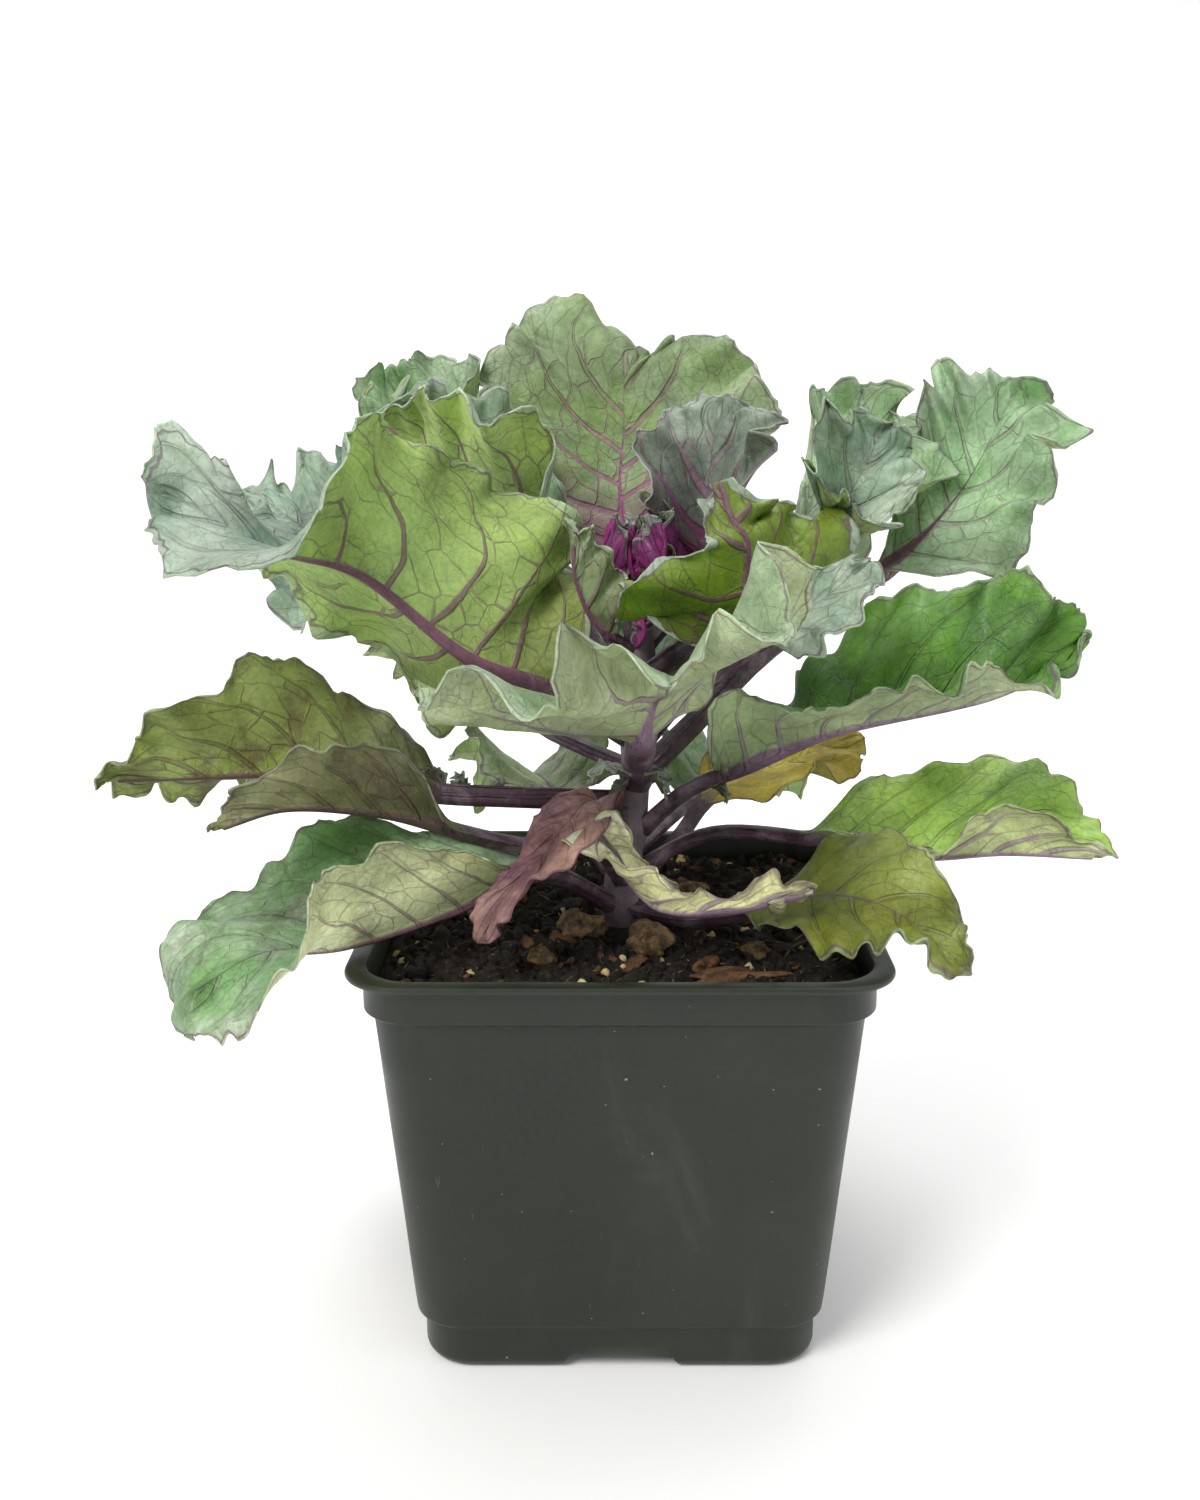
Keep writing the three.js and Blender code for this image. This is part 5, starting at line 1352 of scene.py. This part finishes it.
def make_soil():
    foot = FOOT_WIDTH - 2 * (POT_WALL + SOIL_CLEAR)
    inside = 2 * (POT_WALL + SOIL_CLEAR)
    corner = BODY_CORNER - POT_WALL - SOIL_CLEAR
    rings = [
        square_ring(foot - 2 * FOOT_ROUND, corner - FOOT_ROUND, POT_FLOOR + SEAT),
        square_ring(foot, corner, POT_FLOOR + FOOT_ROUND + SEAT),
        square_ring(foot, corner, FOOT_HEIGHT + SEAT),
        square_ring(BODY_TOP_WIDTH - inside, corner, BAND_FOOT - 1),
        square_ring(BAND_WIDTH - inside, corner, BAND_FOOT + 2),
        *soil_top_rings(),
    ]
    low = rings[-1].copy()
    low[:, 2] = SOIL_TOP - STEM_DEPTH
    return add_object("potting_soil", *loft(rings + [low]), peat)


dress(make_soil(), "soil", "soil")


def rough_lump(name, size, seed, detail, dents):
    """A small irregular lump, about 1 across before size stretches it."""
    mesh = bpy.data.meshes.new(name)
    shape = bmesh.new()
    bmesh.ops.create_icosphere(shape, subdivisions=detail, radius=0.5)
    for vertex in shape.verts:
        swell = 1 + dents * noise.noise(vertex.co * 2.4 + Vector((seed, seed * 0.7, 0)))
        vertex.co = Vector(v * swell * s / 1000.0 for v, s in zip(vertex.co, size))
    shape.to_mesh(mesh)
    shape.free()
    return bpy.data.objects.new(name, mesh)


def make_scatter_tree():
    """Spreads copies of a grain over a surface, each turned and sized by chance."""
    tree = bpy.data.node_groups.new("strew", "GeometryNodeTree")
    kinds = {
        "Surface": "NodeSocketGeometry", "Grain": "NodeSocketObject", "Density": FLOAT,
        "Seed": "NodeSocketInt", "Smallest": FLOAT, "Largest": FLOAT, "Tilt": FLOAT,
        "Finish": "NodeSocketMaterial",
    }
    for label, kind in kinds.items():
        add_socket(tree, label, kind)
    add_socket(tree, "Geometry", "NodeSocketGeometry", "OUTPUT")
    given = tree.nodes.new("NodeGroupInput").outputs
    out = tree.nodes.new("NodeGroupOutput").inputs
    seed = given["Seed"]
    spread = add_node(
        tree, "GeometryNodeDistributePointsOnFaces",
        {"Mesh": given["Surface"], "Density": given["Density"], "Seed": seed},
    )
    grain = add_node(tree, "GeometryNodeObjectInfo", {"Object": given["Grain"]})
    limits = {}
    for sign, end in ((-1.0, "Min"), (1.0, "Max")):
        tilt = times(tree, given["Tilt"], sign)
        joined = add_node(tree, "ShaderNodeCombineXYZ", {"X": tilt, "Y": tilt, "Z": sign * math.pi})
        limits[end] = joined.outputs[0]
    turn = add_node(tree, "FunctionNodeRandomValue", {**limits, "Seed": seed}, data_type="FLOAT_VECTOR")
    sizes = {2: given["Smallest"], 3: given["Largest"], "Seed": seed}
    size = add_node(tree, "FunctionNodeRandomValue", sizes, data_type="FLOAT")
    copies = add_node(tree, "GeometryNodeInstanceOnPoints", {
        "Points": spread.outputs["Points"], "Instance": grain.outputs["Geometry"],
        "Rotation": turn.outputs["Value"], "Scale": size.outputs[1],
    })
    real = add_node(tree, "GeometryNodeRealizeInstances", {0: copies.outputs[0]})
    finish = {"Geometry": real.outputs[0], "Material": given["Finish"]}
    coat = add_node(tree, "GeometryNodeSetMaterial", finish)
    feed(tree, coat.outputs[0], out["Geometry"])
    return tree


strew = make_scatter_tree()


def strewn(name, lump, density, seed, smallest, largest, tilt, material, sunk=0.0):
    """Copies of a lump strewn over the soil's top, as one piece; density is to a square metre."""
    rings = soil_top_rings()[BED]
    bed = np.concatenate(rings) - [0, 0, sunk]
    piece = add_object(name + "_bed", bed, ring_faces(len(rings), len(rings[0])), material)
    grain = rough_lump(*lump)
    modifier = piece.modifiers.new("strew", "NODES")
    modifier.node_group = strew
    values = {
        "Grain": grain, "Density": density, "Seed": seed, "Smallest": smallest, "Largest": largest,
        "Tilt": tilt, "Finish": material,
    }
    for item in strew.interface.items_tree:
        if item.in_out == "INPUT" and item.name in values:
            modifier[item.identifier] = values[item.name]
    result = plain_copy(piece, name)
    bpy.data.objects.remove(grain)
    result.data.polygons.foreach_set("use_smooth", [True] * len(result.data.polygons))
    dress(result, "soil")


def laid_lumps(name, spots, dents, material):
    """Single larger lumps, each at its own place on the soil: x, y, sizes, and turn in degrees."""
    laid = []
    for number, (x, y, size, turn) in enumerate(spots):
        lump = rough_lump(name, size, 11.0 + 3 * number, LUMP_DETAIL, dents)
        cos, sin = math.cos(math.radians(turn)), math.sin(math.radians(turn))
        grid = np.array([v.co for v in lump.data.vertices]) * 1000
        grid = grid + LUMP_ROUGH * min(size) * unit(grid) * lumps(grid, 1.6, number)[:, None]
        turned = grid @ np.array([[cos, sin, 0], [-sin, cos, 0], [0, 0, 1]])
        grid = turned + [x, y, SOIL_TOP + LUMP_LIFT * size[2]]
        laid.append((grid, [tuple(face.vertices) for face in lump.data.polygons], {}))
        bpy.data.objects.remove(lump)
    points, faces, _ = gather(laid)
    dress(add_object(name, points, faces, material), "soil")


strewn("peat_crumbs", ("crumb", (2.6, 2.2, 1.8), 1.0, 1, 0.9), 110000.0, 3, 0.35, 1.5, math.pi, peat)
strewn("peat_clods", ("clod", (5.5, 4.5, 3.2), 4.0, 2, 1.0), 14000.0, 5, 0.5, 1.35, math.pi, peat, 0.6)
strewn("pale_grains", ("grain", (2.4, 2.0, 1.8), 2.0, 2, 0.5), 8500.0, 8, 0.5, 1.45, math.pi, grit)
strewn("bark_chips", ("chip", (6.5, 3.4, 1.5), 6.0, 2, 0.9), 6500.0, 12, 0.4, 1.25, 0.6, bark)
strewn("peat_fibres", ("fibre", (7.5, 0.5, 0.5), 7.0, 1, 1.0), 14000.0, 17, 0.5, 1.3, 0.5, fibre)

BROWN_LUMPS = [
    (-9.0, -11.0, (10.0, 8.0, 8.0), 20), (6.5, -19.0, (11.0, 8.5, 7.0), -25),
    (-17.0, -29.0, (7.5, 6.0, 5.0), 70), (18.0, 20.0, (8.0, 6.0, 4.0), 40),
    (-26.0, 14.0, (7.0, 6.0, 4.5), 10), (30.0, -22.0, (6.0, 5.0, 3.0), 0),
]
BARK_PIECES = [
    (25.0, -38.0, (18.0, 5.0, 3.2), 6), (19.0, -30.0, (9.0, 3.2, 2.4), 65),
    (-30.0, 30.0, (12.0, 4.0, 2.4), 120),
]
laid_lumps("brown_lumps", BROWN_LUMPS, 0.6, crust)
laid_lumps("bark_pieces", BARK_PIECES, 0.9, bark)

# ---------------------------------------------------------------- stage, light and camera

FLOOR_HALF = 2500.0  # the floor's half width, and how far it reaches to the front
BEND_START = 900.0
BEND_RADIUS = 600.0
BEND_STEPS = 12
WALL_TOP = 2600.0
AIR_STRENGTH = 0.62

CAMERA_PLACE = (0.0, -0.347, 0.211)
CAMERA_PITCH = 13.06
IMAGE_HEIGHT = 1500.0
FOCAL_PIXELS = 1551.0
AXIS_OFFSET = 20.0  # pixels that the stem's line stands right of the image's middle
SENSOR = 36.0

# each light's place, what it is turned to, its size, its power and its tint
LIGHTS = {
    "soft_key": ((-0.55, -0.75, 0.95), (0, 0, 0.12), 0.6, 12.0, (1.0, 0.98, 0.96)),
    "soft_fill": ((0.9, -0.6, 0.5), (0, 0, 0.1), 1.0, 1.8, (0.95, 0.98, 1.0)),
    "soft_top": ((0.1, 0.35, 1.1), (0, 0, 0.15), 0.8, 6.0, (1.0, 1.0, 1.0)),
    "wall_wash": ((0, 0.6, 0.9), (0, 1.5, 0.3), 1.0, 4.0, (1.0, 1.0, 1.0)),
}


def make_stage():
    """A pale floor that curves up into a wall behind."""
    material, tree, sockets = new_material("pale_paper", 0.2)
    tone = fade(tree, cloud(tree, 3.0, 2.0), 0.3, 0.7, 0.0, 1.0)
    feed(tree, mix(tree, tone, (0.9, 0.9, 0.9, 1.0), (0.92, 0.92, 0.92, 1.0)), sockets["Base Color"])
    sockets["Roughness"].default_value = 0.8
    profile = [(-FLOOR_HALF, 0.0)]
    for step in range(BEND_STEPS + 1):
        angle = math.radians(90 * step / BEND_STEPS)
        profile.append((BEND_START + BEND_RADIUS * math.sin(angle), BEND_RADIUS * (1 - math.cos(angle))))
    profile.append((BEND_START + BEND_RADIUS, WALL_TOP))
    points = [(x, y, z) for y, z in profile for x in (-FLOOR_HALF, FLOOR_HALF)]
    faces = [(2 * k, 2 * k + 1, 2 * k + 3, 2 * k + 2) for k in range(len(profile) - 1)]
    add_object("paper_sweep", points, faces, material)


def add_light(name, place_at, aim, size, power, tint):
    data = bpy.data.lights.new(name, "AREA")
    data.shape = "DISK"
    data.size = size
    data.energy = power
    data.color = tint
    lamp = bpy.data.objects.new(name, data)
    lamp.location = place_at
    lamp.rotation_euler = (Vector(aim) - Vector(place_at)).to_track_quat("-Z", "Y").to_euler()
    bpy.context.scene.collection.objects.link(lamp)


def make_world():
    world = bpy.data.worlds.new("studio_air")
    world.use_nodes = True
    background = world.node_tree.nodes["Background"].inputs
    background["Color"].default_value = (1.0, 1.0, 1.0, 1.0)
    background["Strength"].default_value = AIR_STRENGTH
    bpy.context.scene.world = world


def make_camera():
    data = bpy.data.cameras.new("view")
    data.sensor_width = SENSOR
    data.lens = SENSOR * FOCAL_PIXELS / IMAGE_HEIGHT
    data.shift_x = -AXIS_OFFSET / IMAGE_HEIGHT
    data.clip_start = 0.01
    camera = bpy.data.objects.new("view", data)
    camera.location = CAMERA_PLACE
    camera.rotation_euler = (math.radians(90 - CAMERA_PITCH), 0.0, 0.0)
    bpy.context.scene.collection.objects.link(camera)
    bpy.context.scene.camera = camera


make_stage()
make_world()
for light, settings in LIGHTS.items():
    add_light(light, *settings)
make_camera()
bpy.context.scene.view_settings.view_transform = "Standard"
